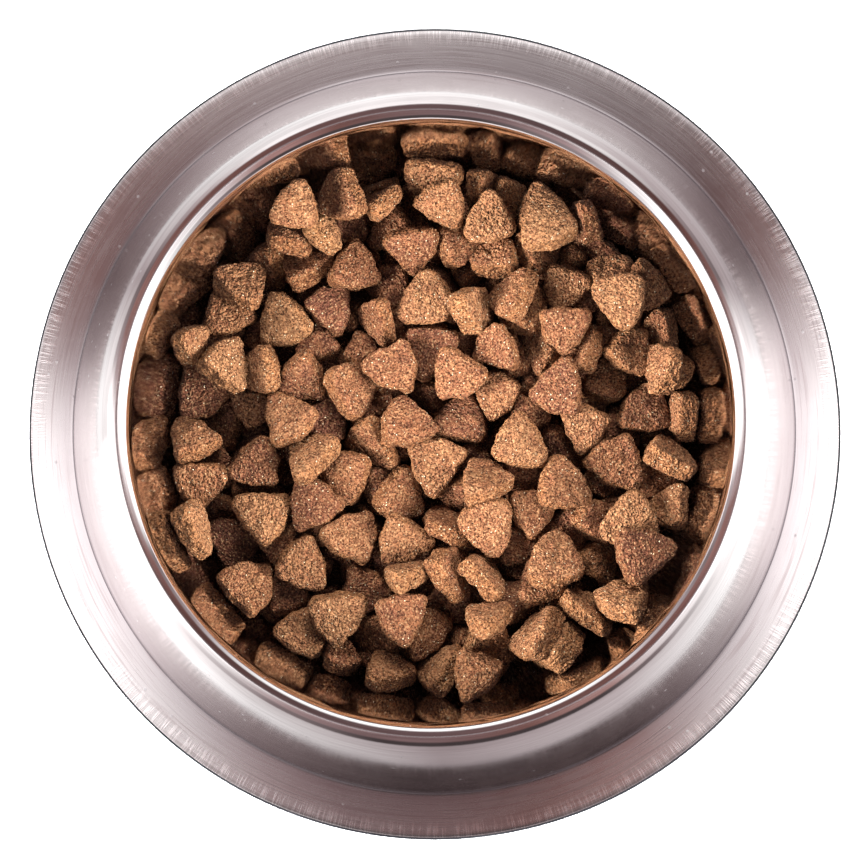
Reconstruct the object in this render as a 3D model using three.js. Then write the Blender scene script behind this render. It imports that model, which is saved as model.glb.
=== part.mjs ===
// Stainless steel pet bowl with a flared foot and a rubber base ring, filled with dry kibble.
// Millimetres, +Z up. The origin is the centre of the base ring's underside.
import * as THREE from "three";
import { ConvexGeometry } from "three/addons/geometries/ConvexGeometry.js";

// ---- driving dimensions ----
const BASE_R = 108.0; // outer radius of the base ring
const RIM_TOP = 58.4; // height of the rolled rim
const SHEET = 0.8; // thickness of the pressed sheet
const SEGMENTS = 56; // facets around every turned piece
const RING_H = 3.4; // height of the rubber ring's lip
const RING_IN = 97.5; // inner radius of the rubber ring
const SLOT = 0.3; // gap between the steel edge and the rubber
const BED_GAP = 0.7; // gap between the heap and the bowl's inside
const KIBBLE_BAND = 0.22; // half height of a kibble's side band, share of its thickness
const KIBBLE_FACE = 0.72; // width of a kibble's flat face, share of its outline
const CORNER_A = 0.68; // rounded triangle: corner centres, share of the tip radius
const CORNER_B = 0.32; // rounded triangle: corner rounding, share of the tip radius
const SIDE_BULGE = 0.045; // rounded triangle: outward bow of its sides

// Middle line of the pressed sheet, from the bowl's centre up the inside wall, over the rim,
// down the skirt and out along the foot: [radius, height].
const SHEET_LINE = [
  [0, 4.6], [30, 4.6], [50, 4.7], [56.6, 5.9], [61.2, 9.0], [64.2, 13.5], [67.0, 19.8],
  [69.4, 31.0], [72.05, 43.5], [73.9, 52.4], [74.6, 55.6], [75.7, 57.3], [77.3, RIM_TOP - SHEET / 2],
  [78.95, 57.3], [80.5, 55.6], [81.7, 52.8], [84.2, 45.0], [88.3, 31.5], [92.2, 18.5], [94.6, 10.5],
  [95.2, 8.7], [96.4, 7.9], [100.2, 6.2], [104.0, 4.6], [106.3, 3.7],
];

// Free kibbles on top of the heap: x, y, z, quaternion x y z w, tip radius, thickness.
const KIBBLES = [
  [-34.15, 54.96, 42.72, 0.0549, 0.0118, 0.6457, 0.7615, 7.7, 6.12],
  [52.82, -32.31, 41.14, -0.0929, -0.0172, -0.7964, 0.5973, 8.53, 6.13],
  [47.97, 31.74, 39.82, -0.0901, 0.0467, 0.9786, 0.1793, 8.25, 6.32],
  [48.43, -43.96, 39.41, -0.1771, 0.4123, 0.8912, 0.0661, 8.53, 6.17],
  [29.34, 51.2, 39.39, -0.1983, 0.0563, -0.133, 0.9695, 8.8, 6.0],
  [10.95, -62.67, 37.11, -0.1771, 0.1099, 0.072, 0.9754, 7.7, 5.65],
  [31.3, -34.58, 36.26, -0.1932, 0.1881, 0.7042, 0.6569, 8.25, 5.75],
  [26.29, -53.41, 36.2, -0.5011, -0.201, 0.4066, 0.737, 8.8, 5.73],
  [-23.02, 58.24, 36.18, -0.1854, -0.1929, 0.6572, 0.7047, 7.7, 6.26],
  [33.72, 24.85, 36.16, -0.0352, 0.0057, -0.7166, 0.6966, 7.7, 5.67],
  [-7.78, -48.24, 34.78, 0.0117, 0.0084, -0.6676, 0.7443, 7.97, 6.39],
  [32.55, 9.33, 34.73, 0.171, 0.0212, -0.9801, 0.0988, 8.53, 5.58],
  [14.23, -25.32, 34.18, 0.0924, 0.0259, -0.5871, 0.8038, 8.25, 5.88],
  [33.3, -15.31, 33.52, -0.1334, 0.1086, -0.201, 0.9644, 7.97, 5.65],
  [6.56, 13.02, 33.41, 0.114, -0.0565, -0.0529, 0.9905, 8.25, 6.41],
  [16.62, 19.84, 33.33, -0.0702, -0.1695, 0.6345, 0.7508, 7.19, 5.7],
  [2.91, 57.1, 33.27, 0.0335, 0.2844, -0.958, 0.0142, 7.7, 5.72],
  [20.59, 33.04, 33.18, -0.3866, -0.2315, 0.3849, 0.8055, 8.25, 6.21],
  [13.57, -14.22, 32.81, -0.3832, -0.0636, -0.0242, 0.9212, 7.97, 5.54],
  [14.83, 52.84, 32.64, 0.0774, -0.1334, 0.7186, 0.6781, 7.97, 6.28],
  [-9.9, 14.95, 32.57, 0.0188, -0.1045, -0.994, 0.0271, 8.25, 5.69],
  [22.44, -4.41, 32.43, -0.0217, 0.0632, 0.6796, 0.7306, 8.25, 6.39],
  [-6.84, 0.59, 32.15, -0.1328, 0.1562, -0.1356, 0.9693, 7.7, 6.14],
  [-24.04, -48.21, 31.86, 0.0511, 0.0625, -0.6973, 0.7122, 8.25, 6.28],
  [-52.86, 15.92, 31.48, -0.273, 0.2107, -0.4347, 0.8319, 7.97, 6.08],
  [-30.96, -7.55, 31.45, -0.3517, -0.1277, 0.1749, 0.9107, 7.97, 5.93],
  [-36.42, 2.06, 31.12, 0.0827, -0.1603, -0.8252, 0.5352, 8.25, 6.41],
  [-20.54, 9.96, 30.46, -0.3008, 0.1485, -0.6302, 0.7003, 8.25, 5.88],
  [39.15, 0.11, 30.41, 0.1403, 0.0338, -0.7693, 0.6224, 7.7, 5.89],
  [-30.34, -19.82, 30.25, -0.077, -0.0149, 0.839, 0.5384, 8.25, 5.76],
  [-1.41, 32.5, 29.89, -0.0388, -0.0785, 0.711, 0.6977, 8.53, 5.67],
  [-20.56, -28.3, 29.79, -0.1739, 0.0426, -0.5324, 0.8273, 8.25, 6.02],
  [-43.11, -22.56, 29.79, -0.1568, -0.0436, -0.6705, 0.7238, 8.25, 6.07],
  [-7.54, -29.11, 29.77, 0.1713, 0.0432, -0.0747, 0.9814, 7.97, 5.93],
  [-48.99, 36.67, 29.45, 0.1559, 0.2999, 0.9369, 0.0892, 7.97, 5.53],
  [-33.17, 12.68, 29.23, 0.2816, -0.0044, -0.32, 0.9046, 7.42, 6.36],
  [-4.87, 46.06, 29.17, 0.1363, 0.1441, -0.6481, 0.7353, 7.7, 6.05],
  [46.78, -8.95, 28.84, -0.0754, -0.0198, -0.9952, 0.0598, 8.53, 5.66],
  [-33.15, -35.12, 28.82, 0.1025, 0.012, 0.6072, 0.7878, 8.25, 5.87],
  [0.99, -9.25, 28.46, -0.0022, -0.0332, -0.742, 0.6696, 8.53, 5.56],
  [-47.08, -40.78, 28.42, -0.2093, 0.0334, -0.6221, 0.7537, 8.53, 5.71],
  [-38.15, 26.82, 28.18, 0.0703, -0.1832, -0.1136, 0.974, 8.25, 6.29],
  [-22.47, -12.13, 28.17, 0.1938, -0.0722, -0.6635, 0.719, 8.25, 5.97],
  [-44.98, -9.58, 28.14, 0.0861, 0.0102, 0.613, 0.7853, 7.7, 6.02],
  [-0.36, 19.81, 27.97, 0.0955, -0.018, -0.7835, 0.6137, 8.57, 6.05],
  [7.34, 1.83, 27.55, -0.1238, -0.0216, -0.3555, 0.9262, 8.02, 6.36],
  [-26.36, 30.51, 27.33, 0.118, 0.1441, 0.9796, 0.076, 7.46, 5.97],
  [-20.08, 40.87, 27.19, 0.1287, 0.2448, 0.6857, 0.6733, 8.02, 5.56],
  [-61.77, -3.09, 27.0, -0.3138, -0.0316, 0.008, 0.9489, 7.7, 5.95],
  [-8.12, -17.7, 26.94, 0.2244, 0.1818, 0.6178, 0.7314, 8.02, 5.83],
  [-59.86, -14.4, 26.91, 0.1082, 0.1604, -0.7194, 0.6671, 7.97, 5.78],
  [-32.81, -52.48, 26.91, 0.071, 0.0282, 0.9969, 0.0207, 7.7, 6.01],
  [54.34, 4.31, 26.51, 0.055, 0.1129, 0.6943, 0.7086, 7.7, 6.36],
  [-59.72, 9.44, 22.14, 0.0434, 0.0283, -0.0223, 0.9984, 8.25, 6.01]
];

// Top of the packed kibble under them, in tenths of a millimetre: one row for each ring radius,
// one value for each facet around.
const BED_RINGS = [6, 12, 18, 24, 30, 35.5, 41, 46.5, 52, 57, 61.5, 65.0];
const BED_CENTRE = 186;
const BED_TOP = [
  [231, 234, 236, 235, 235, 234, 232, 230, 230, 228, 228, 227, 228, 229, 228, 228, 226, 220, 217, 210, 202, 199, 203, 210, 214, 219, 220, 218, 214, 208, 202, 197, 195, 195, 204, 214, 220, 233, 237, 241, 244, 246, 247, 248, 249, 248, 241, 239, 223, 220, 208, 202, 204, 208, 216, 224],
  [219, 218, 214, 214, 226, 242, 249, 248, 246, 244, 240, 234, 225, 226, 228, 227, 226, 219, 219, 228, 228, 222, 227, 225, 217, 214, 210, 214, 218, 215, 209, 201, 192, 193, 197, 209, 216, 224, 233, 233, 236, 239, 254, 276, 270, 254, 245, 236, 233, 230, 221, 220, 220, 220, 219, 219],
  [214, 215, 253, 253, 253, 253, 246, 238, 238, 233, 219, 215, 212, 204, 196, 225, 238, 238, 235, 230, 228, 228, 235, 238, 246, 242, 239, 235, 234, 226, 216, 197, 196, 196, 205, 218, 223, 231, 239, 243, 250, 256, 269, 248, 247, 242, 242, 238, 232, 221, 215, 214, 214, 209, 214, 214],
  [214, 227, 268, 240, 219, 212, 205, 219, 256, 271, 278, 232, 195, 222, 269, 283, 283, 290, 297, 289, 284, 275, 256, 257, 254, 247, 220, 209, 220, 216, 222, 239, 241, 245, 239, 239, 237, 204, 219, 236, 245, 252, 264, 229, 210, 209, 198, 212, 233, 235, 233, 219, 214, 214, 214, 214],
  [236, 259, 302, 292, 251, 211, 209, 294, 288, 297, 281, 247, 259, 264, 235, 227, 207, 241, 278, 289, 291, 291, 279, 219, 260, 255, 250, 230, 203, 207, 243, 242, 260, 236, 235, 243, 241, 233, 223, 233, 242, 248, 249, 237, 235, 228, 232, 212, 210, 209, 212, 199, 204, 216, 214, 214],
  [253, 260, 302, 301, 260, 282, 302, 304, 302, 292, 251, 223, 259, 259, 257, 214, 180, 188, 237, 311, 313, 275, 260, 256, 253, 260, 271, 231, 234, 232, 225, 224, 224, 223, 223, 211, 237, 246, 223, 211, 227, 238, 235, 241, 234, 201, 215, 212, 240, 247, 194, 215, 232, 253, 253, 253],
  [249, 329, 330, 326, 254, 278, 288, 281, 304, 284, 234, 231, 220, 245, 236, 238, 248, 274, 310, 307, 284, 245, 270, 238, 241, 262, 256, 243, 236, 197, 225, 224, 220, 198, 209, 197, 234, 225, 184, 238, 242, 228, 194, 201, 182, 181, 186, 180, 241, 247, 227, 253, 258, 255, 257, 260],
  [268, 260, 281, 330, 291, 315, 293, 246, 288, 301, 261, 251, 251, 223, 231, 231, 236, 282, 327, 261, 257, 313, 289, 245, 275, 281, 281, 258, 240, 222, 201, 199, 207, 203, 223, 221, 223, 195, 232, 241, 248, 194, 212, 233, 220, 213, 241, 229, 250, 237, 243, 241, 282, 275, 201, 275],
  [300, 264, 330, 290, 291, 303, 324, 243, 304, 321, 324, 252, 233, 213, 222, 222, 222, 236, 325, 243, 253, 323, 304, 297, 284, 263, 235, 265, 222, 244, 236, 211, 224, 237, 234, 230, 178, 232, 224, 192, 184, 184, 185, 210, 207, 234, 252, 241, 230, 232, 226, 230, 236, 251, 263, 298],
  [291, 299, 327, 281, 205, 290, 314, 230, 293, 250, 330, 254, 251, 240, 216, 222, 223, 327, 309, 263, 323, 280, 258, 269, 288, 248, 228, 221, 278, 230, 271, 238, 230, 256, 300, 231, 184, 234, 254, 190, 184, 184, 184, 215, 196, 198, 220, 222, 178, 230, 230, 215, 230, 220, 265, 257],
  [305, 293, 301, 253, 288, 301, 330, 250, 256, 226, 330, 263, 285, 240, 222, 222, 224, 330, 283, 330, 330, 272, 317, 289, 296, 286, 291, 277, 285, 249, 330, 221, 230, 252, 330, 231, 231, 233, 260, 193, 184, 184, 184, 213, 200, 219, 223, 225, 218, 230, 232, 230, 230, 260, 310, 275],
  [321, 236, 285, 240, 289, 309, 330, 261, 249, 239, 260, 330, 297, 302, 227, 224, 231, 306, 303, 330, 330, 255, 330, 317, 330, 294, 302, 302, 307, 258, 259, 236, 222, 220, 314, 231, 231, 242, 268, 202, 185, 184, 185, 216, 205, 219, 330, 238, 234, 234, 219, 230, 231, 256, 330, 306]
];
// Inside of the bowl below the heap: [radius, height], bed gap not yet taken off.
const BED_UNDER = [[0, 5.7], [49.5, 5.8], [56.0, 7.0], [60.4, 10.0], [63.4, 14.2], [64.5, 16.6]];

const steel = new THREE.MeshStandardMaterial({ color: 0xb9b6b8, metalness: 1, roughness: 0.22 });
const rubber = new THREE.MeshStandardMaterial({ color: 0x16171a, metalness: 0, roughness: 0.8 });
const bedStuff = new THREE.MeshStandardMaterial({ color: 0x4a2f1e, metalness: 0, roughness: 0.95 });

const group = new THREE.Group();

function volume(geometry) {
  const p = geometry.attributes.position;
  const index = geometry.index;
  const n = index ? index.count : p.count;
  const a = new THREE.Vector3(), b = new THREE.Vector3(), c = new THREE.Vector3();
  let v = 0;
  for (let i = 0; i < n; i += 3) {
    const k = index ? [index.getX(i), index.getX(i + 1), index.getX(i + 2)] : [i, i + 1, i + 2];
    a.fromBufferAttribute(p, k[0]); b.fromBufferAttribute(p, k[1]); c.fromBufferAttribute(p, k[2]);
    v += a.dot(b.clone().cross(c)) / 6;
  }
  return v;
}

function faceOut(geometry) {
  if (volume(geometry) > 0) return geometry;
  const index = geometry.index;
  for (let i = 0; i < index.count; i += 3) {
    const t = index.getX(i);
    index.setX(i, index.getX(i + 1));
    index.setX(i + 1, t);
  }
  return geometry;
}

// A turned solid about the Z axis from a profile of [radius, height] points.
function turned(profile) {
  const points = profile.map(([r, z]) => new THREE.Vector2(r, z));
  const geometry = new THREE.LatheGeometry(points, SEGMENTS);
  geometry.rotateX(Math.PI / 2);
  return faceOut(geometry);
}

function add(name, geometry, material) {
  const mesh = new THREE.Mesh(geometry, material);
  mesh.name = name;
  group.add(mesh);
  return mesh;
}

// The line moved sideways by d, with mitred corners.
function offset(line, d) {
  return line.map((p, i) => {
    const a = line[Math.max(i - 1, 0)], b = line[Math.min(i + 1, line.length - 1)];
    const unit = (u, v) => { const l = Math.hypot(v[0] - u[0], v[1] - u[1]) || 1; return [(v[0] - u[0]) / l, (v[1] - u[1]) / l]; };
    const t1 = i > 0 ? unit(a, p) : unit(p, b);
    const t2 = i < line.length - 1 ? unit(p, b) : unit(a, p);
    const n1 = [-t1[1], t1[0]], n2 = [-t2[1], t2[0]];
    const s = [n1[0] + n2[0], n1[1] + n2[1]];
    const k = d / (1 + n1[0] * n2[0] + n1[1] * n2[1]);
    return [i === 0 ? 0 : p[0] + s[0] * k, p[1] + s[1] * k];
  });
}

// ---- the pressed steel bowl: one sheet ----
const upper = offset(SHEET_LINE, SHEET / 2);
const lower = offset(SHEET_LINE, -SHEET / 2);
add("bowl_shell", turned([...lower, ...upper.reverse()]), steel);

// ---- the rubber ring: a channel that the foot's edge stands in ----
const ringProfile = [
  [RING_IN, 0], [BASE_R - 0.5, 0], [BASE_R, 0.6], [BASE_R, RING_H - 0.6], [BASE_R - 0.5, RING_H],
  [107.15, RING_H + 0.1], [106.4, 2.4], [104.6, 3.05], [101.0, 4.5], [RING_IN, 5.6],
];
add("base_ring", turned([...ringProfile, ringProfile[0]]), rubber);

// ---- the packed kibble below the free ones ----
{
  const edge = BED_UNDER[BED_UNDER.length - 1];
  const under = BED_UNDER.map(([r, z]) => [r === 0 ? 0 : r - BED_GAP, z]);
  const over = [...BED_RINGS].reverse().map((r) => [r, edge[1] + 2]);
  const profile = [...under, ...over, [0, BED_CENTRE / 10]];
  const geometry = new THREE.LatheGeometry(profile.map(([r, z]) => new THREE.Vector2(r, z)), SEGMENTS);
  const p = geometry.attributes.position;
  for (let i = 0; i <= SEGMENTS; i++) {
    BED_RINGS.forEach((_, k) => {
      const j = under.length + (BED_RINGS.length - 1 - k);
      p.setY(i * profile.length + j, BED_TOP[k][i % SEGMENTS] / 10);
    });
  }
  geometry.rotateX(Math.PI / 2);
  add("kibble_bed", faceOut(geometry), bedStuff);
}

// ---- the free kibbles: rounded triangular pillows ----
// Distance from p to the triangle with corners v, negative inside.
function triangleDistance(p, v) {
  let inside = true, best = Infinity;
  for (let i = 0; i < 3; i++) {
    const a = v[i], b = v[(i + 1) % 3];
    const e = [b[0] - a[0], b[1] - a[1]], w = [p[0] - a[0], p[1] - a[1]];
    const t = Math.min(1, Math.max(0, (w[0] * e[0] + w[1] * e[1]) / (e[0] * e[0] + e[1] * e[1])));
    best = Math.min(best, Math.hypot(w[0] - e[0] * t, w[1] - e[1] * t));
    if (e[0] * w[1] - e[1] * w[0] < 0) inside = false;
  }
  return inside ? -best : best;
}

function outline(n) {
  const v = [0, 1, 2].map((k) => [Math.cos((k * 2 * Math.PI) / 3) * CORNER_A, Math.sin((k * 2 * Math.PI) / 3) * CORNER_A]);
  return Array.from({ length: n }, (_, i) => {
    const a = (i * 2 * Math.PI) / n;
    let lo = 0, hi = 1.5;
    for (let k = 0; k < 40; k++) {
      const m = (lo + hi) / 2;
      if (triangleDistance([Math.cos(a) * m, Math.sin(a) * m], v) < CORNER_B) lo = m; else hi = m;
    }
    const r = lo + (SIDE_BULGE * (1 - Math.cos(3 * a))) / 2;
    return [Math.cos(a) * r, Math.sin(a) * r];
  });
}

const RIM12 = outline(12), RIM6 = outline(6);
function kibble(radius, thickness) {
  const points = [];
  for (const s of [-1, 1]) {
    for (const [x, y] of RIM12) points.push(new THREE.Vector3(x * radius, y * radius, s * KIBBLE_BAND * thickness));
    for (const [x, y] of RIM6) points.push(new THREE.Vector3(x * KIBBLE_FACE * radius, y * KIBBLE_FACE * radius, s * 0.46 * thickness));
    points.push(new THREE.Vector3(0, 0, s * 0.5 * thickness));
  }
  return new ConvexGeometry(points);
}

KIBBLES.forEach(([x, y, z, qx, qy, qz, qw, radius, thickness], i) => {
  const tone = 0.85 + 0.3 * ((i * 7) % 11) / 10;
  const material = new THREE.MeshStandardMaterial({ color: new THREE.Color(0.33 * tone, 0.18 * tone, 0.1 * tone), metalness: 0, roughness: 0.9 });
  const mesh = add(`kibble_${String(i + 1).padStart(2, "0")}`, kibble(radius, thickness), material);
  mesh.position.set(x, y, z);
  mesh.quaternion.set(qx, qy, qz, qw).normalize();
});

export default group;
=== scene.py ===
# Steel pet bowl with a flared foot and a rubber base ring, filled with dry triangular kibble.
import math

import bmesh
import bpy
import numpy as np
from mathutils import Vector, Matrix


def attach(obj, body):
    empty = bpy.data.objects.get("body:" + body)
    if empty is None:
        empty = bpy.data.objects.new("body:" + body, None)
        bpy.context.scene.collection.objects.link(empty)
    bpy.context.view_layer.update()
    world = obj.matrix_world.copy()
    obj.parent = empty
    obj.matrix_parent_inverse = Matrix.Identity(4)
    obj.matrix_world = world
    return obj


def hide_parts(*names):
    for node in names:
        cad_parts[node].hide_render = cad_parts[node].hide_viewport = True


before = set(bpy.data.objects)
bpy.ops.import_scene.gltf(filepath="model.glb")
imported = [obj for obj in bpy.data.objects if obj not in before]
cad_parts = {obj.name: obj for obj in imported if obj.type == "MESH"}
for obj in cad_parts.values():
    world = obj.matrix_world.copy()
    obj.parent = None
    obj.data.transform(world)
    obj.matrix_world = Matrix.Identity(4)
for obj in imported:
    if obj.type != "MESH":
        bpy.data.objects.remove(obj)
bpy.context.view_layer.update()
scene = bpy.context.scene

# ------------------------------------------------------------------ camera
S0, DIST = 0.0002669, 0.720          # metres a pixel at the base plane, height of the lens
cam_data = bpy.data.cameras.new("view_camera")
cam = bpy.data.objects.new("view_camera", cam_data)
scene.collection.objects.link(cam)
eye = Vector((0.0121, -0.0335, DIST))
aim = Vector((-0.00028, -0.00024, 0.0))
cam.location = eye
look = (aim - eye).normalized()
right = look.cross(Vector((0, 1, 0))).normalized()
cam.rotation_euler = Matrix((right, right.cross(look), -look)).transposed().to_euler()
cam_data.sensor_width = 36.0
cam_data.sensor_fit = "HORIZONTAL"
cam_data.lens = 18.0 / (433 * S0 / (aim - eye).length)
cam_data.clip_start, cam_data.clip_end = 0.01, 50
scene.camera = cam
scene.view_settings.view_transform = "Standard"

# ------------------------------------------------------------------ tables
# x, y, z mm, quaternion x y z w, tip radius, thickness, tone 0 dark to 1 light, finely meshed
FREE = [
    (-34.15, 54.96, 42.72, 0.0549, 0.0118, 0.6457, 0.7615, 7.7, 6.12, 0.6, 1),
    (52.82, -32.31, 41.14, -0.0929, -0.0172, -0.7964, 0.5973, 8.53, 6.13, 0.15, 1),
    (47.97, 31.74, 39.82, -0.0901, 0.0467, 0.9786, 0.1793, 8.25, 6.32, 0.7, 1),
    (48.43, -43.96, 39.41, -0.1771, 0.4123, 0.8912, 0.0661, 8.53, 6.17, 0.7, 1),
    (29.34, 51.2, 39.39, -0.1983, 0.0563, -0.133, 0.9695, 8.8, 6.0, 0.8, 1),
    (10.95, -62.67, 37.11, -0.1771, 0.1099, 0.072, 0.9754, 7.7, 5.65, 0.55, 1),
    (31.3, -34.58, 36.26, -0.1932, 0.1881, 0.7042, 0.6569, 8.25, 5.75, 0.55, 1),
    (26.29, -53.41, 36.2, -0.5011, -0.201, 0.4066, 0.737, 8.8, 5.73, 0.6, 1),
    (-23.02, 58.24, 36.18, -0.1854, -0.1929, 0.6572, 0.7047, 7.7, 6.26, 0.5, 1),
    (33.72, 24.85, 36.16, -0.0352, 0.0057, -0.7166, 0.6966, 7.7, 5.67, 0.35, 1),
    (-7.78, -48.24, 34.78, 0.0117, 0.0084, -0.6676, 0.7443, 7.97, 6.39, 0.35, 1),
    (32.55, 9.33, 34.73, 0.171, 0.0212, -0.9801, 0.0988, 8.53, 5.58, 0.2, 1),
    (14.23, -25.32, 34.18, 0.0924, 0.0259, -0.5871, 0.8038, 8.25, 5.88, 0.55, 1),
    (33.3, -15.31, 33.52, -0.1334, 0.1086, -0.201, 0.9644, 7.97, 5.65, 0.5, 1),
    (6.56, 13.02, 33.41, 0.114, -0.0565, -0.0529, 0.9905, 8.25, 6.41, 0.45, 1),
    (16.62, 19.84, 33.33, -0.0702, -0.1695, 0.6345, 0.7508, 7.19, 5.7, 0.35, 1),
    (2.91, 57.1, 33.27, 0.0335, 0.2844, -0.958, 0.0142, 7.7, 5.72, 0.6, 1),
    (20.59, 33.04, 33.18, -0.3866, -0.2315, 0.3849, 0.8055, 8.25, 6.21, 0.5, 1),
    (13.57, -14.22, 32.81, -0.3832, -0.0636, -0.0242, 0.9212, 7.97, 5.54, 0.6, 1),
    (14.83, 52.84, 32.64, 0.0774, -0.1334, 0.7186, 0.6781, 7.97, 6.28, 0.7, 1),
    (-9.9, 14.95, 32.57, 0.0188, -0.1045, -0.994, 0.0271, 8.25, 5.69, 0.4, 1),
    (22.44, -4.41, 32.43, -0.0217, 0.0632, 0.6796, 0.7306, 8.25, 6.39, 0.7, 1),
    (-6.84, 0.59, 32.15, -0.1328, 0.1562, -0.1356, 0.9693, 7.7, 6.14, 0.35, 1),
    (-24.04, -48.21, 31.86, 0.0511, 0.0625, -0.6973, 0.7122, 8.25, 6.28, 0.75, 1),
    (-52.86, 15.92, 31.48, -0.273, 0.2107, -0.4347, 0.8319, 7.97, 6.08, 0.8, 1),
    (-30.96, -7.55, 31.45, -0.3517, -0.1277, 0.1749, 0.9107, 7.97, 5.93, 0.7, 1),
    (-36.42, 2.06, 31.12, 0.0827, -0.1603, -0.8252, 0.5352, 8.25, 6.41, 0.55, 1),
    (-20.54, 9.96, 30.46, -0.3008, 0.1485, -0.6302, 0.7003, 8.25, 5.88, 0.5, 1),
    (39.15, 0.11, 30.41, 0.1403, 0.0338, -0.7693, 0.6224, 7.7, 5.89, 0.6, 1),
    (-30.34, -19.82, 30.25, -0.077, -0.0149, 0.839, 0.5384, 8.25, 5.76, 0.25, 1),
    (-1.41, 32.5, 29.89, -0.0388, -0.0785, 0.711, 0.6977, 8.53, 5.67, 0.7, 1),
    (-20.56, -28.3, 29.79, -0.1739, 0.0426, -0.5324, 0.8273, 8.25, 6.02, 0.6, 1),
    (-43.11, -22.56, 29.79, -0.1568, -0.0436, -0.6705, 0.7238, 8.25, 6.07, 0.75, 1),
    (-7.54, -29.11, 29.77, 0.1713, 0.0432, -0.0747, 0.9814, 7.97, 5.93, 0.65, 1),
    (-48.99, 36.67, 29.45, 0.1559, 0.2999, 0.9369, 0.0892, 7.97, 5.53, 0.6, 1),
    (-33.17, 12.68, 29.23, 0.2816, -0.0044, -0.32, 0.9046, 7.42, 6.36, 0.35, 1),
    (-4.87, 46.06, 29.17, 0.1363, 0.1441, -0.6481, 0.7353, 7.7, 6.05, 0.3, 1),
    (46.78, -8.95, 28.84, -0.0754, -0.0198, -0.9952, 0.0598, 8.53, 5.66, 0.4, 1),
    (-33.15, -35.12, 28.82, 0.1025, 0.012, 0.6072, 0.7878, 8.25, 5.87, 0.65, 1),
    (0.99, -9.25, 28.46, -0.0022, -0.0332, -0.742, 0.6696, 8.53, 5.56, 0.75, 1),
    (-47.08, -40.78, 28.42, -0.2093, 0.0334, -0.6221, 0.7537, 8.53, 5.71, 0.5, 1),
    (-38.15, 26.82, 28.18, 0.0703, -0.1832, -0.1136, 0.974, 8.25, 6.29, 0.9, 1),
    (-22.47, -12.13, 28.17, 0.1938, -0.0722, -0.6635, 0.719, 8.25, 5.97, 0.6, 1),
    (-44.98, -9.58, 28.14, 0.0861, 0.0102, 0.613, 0.7853, 7.7, 6.02, 0.3, 1),
    (-0.36, 19.81, 27.97, 0.0955, -0.018, -0.7835, 0.6137, 8.57, 6.05, 0.3, 1),
    (7.34, 1.83, 27.55, -0.1238, -0.0216, -0.3555, 0.9262, 8.02, 6.36, 0.35, 1),
    (-26.36, 30.51, 27.33, 0.118, 0.1441, 0.9796, 0.076, 7.46, 5.97, 0.15, 1),
    (-20.08, 40.87, 27.19, 0.1287, 0.2448, 0.6857, 0.6733, 8.02, 5.56, 0.45, 1),
    (-61.77, -3.09, 27.0, -0.3138, -0.0316, 0.008, 0.9489, 7.7, 5.95, 0.55, 1),
    (-8.12, -17.7, 26.94, 0.2244, 0.1818, 0.6178, 0.7314, 8.02, 5.83, 0.65, 1),
    (-59.86, -14.4, 26.91, 0.1082, 0.1604, -0.7194, 0.6671, 7.97, 5.78, 0.5, 1),
    (-32.81, -52.48, 26.91, 0.071, 0.0282, 0.9969, 0.0207, 7.7, 6.01, 0.7, 1),
    (54.34, 4.31, 26.51, 0.055, 0.1129, 0.6943, 0.7086, 7.7, 6.36, 0.35, 1),
    (-59.72, 9.44, 22.14, 0.0434, 0.0283, -0.0223, 0.9984, 8.25, 6.01, 0.35, 1)
]
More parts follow.
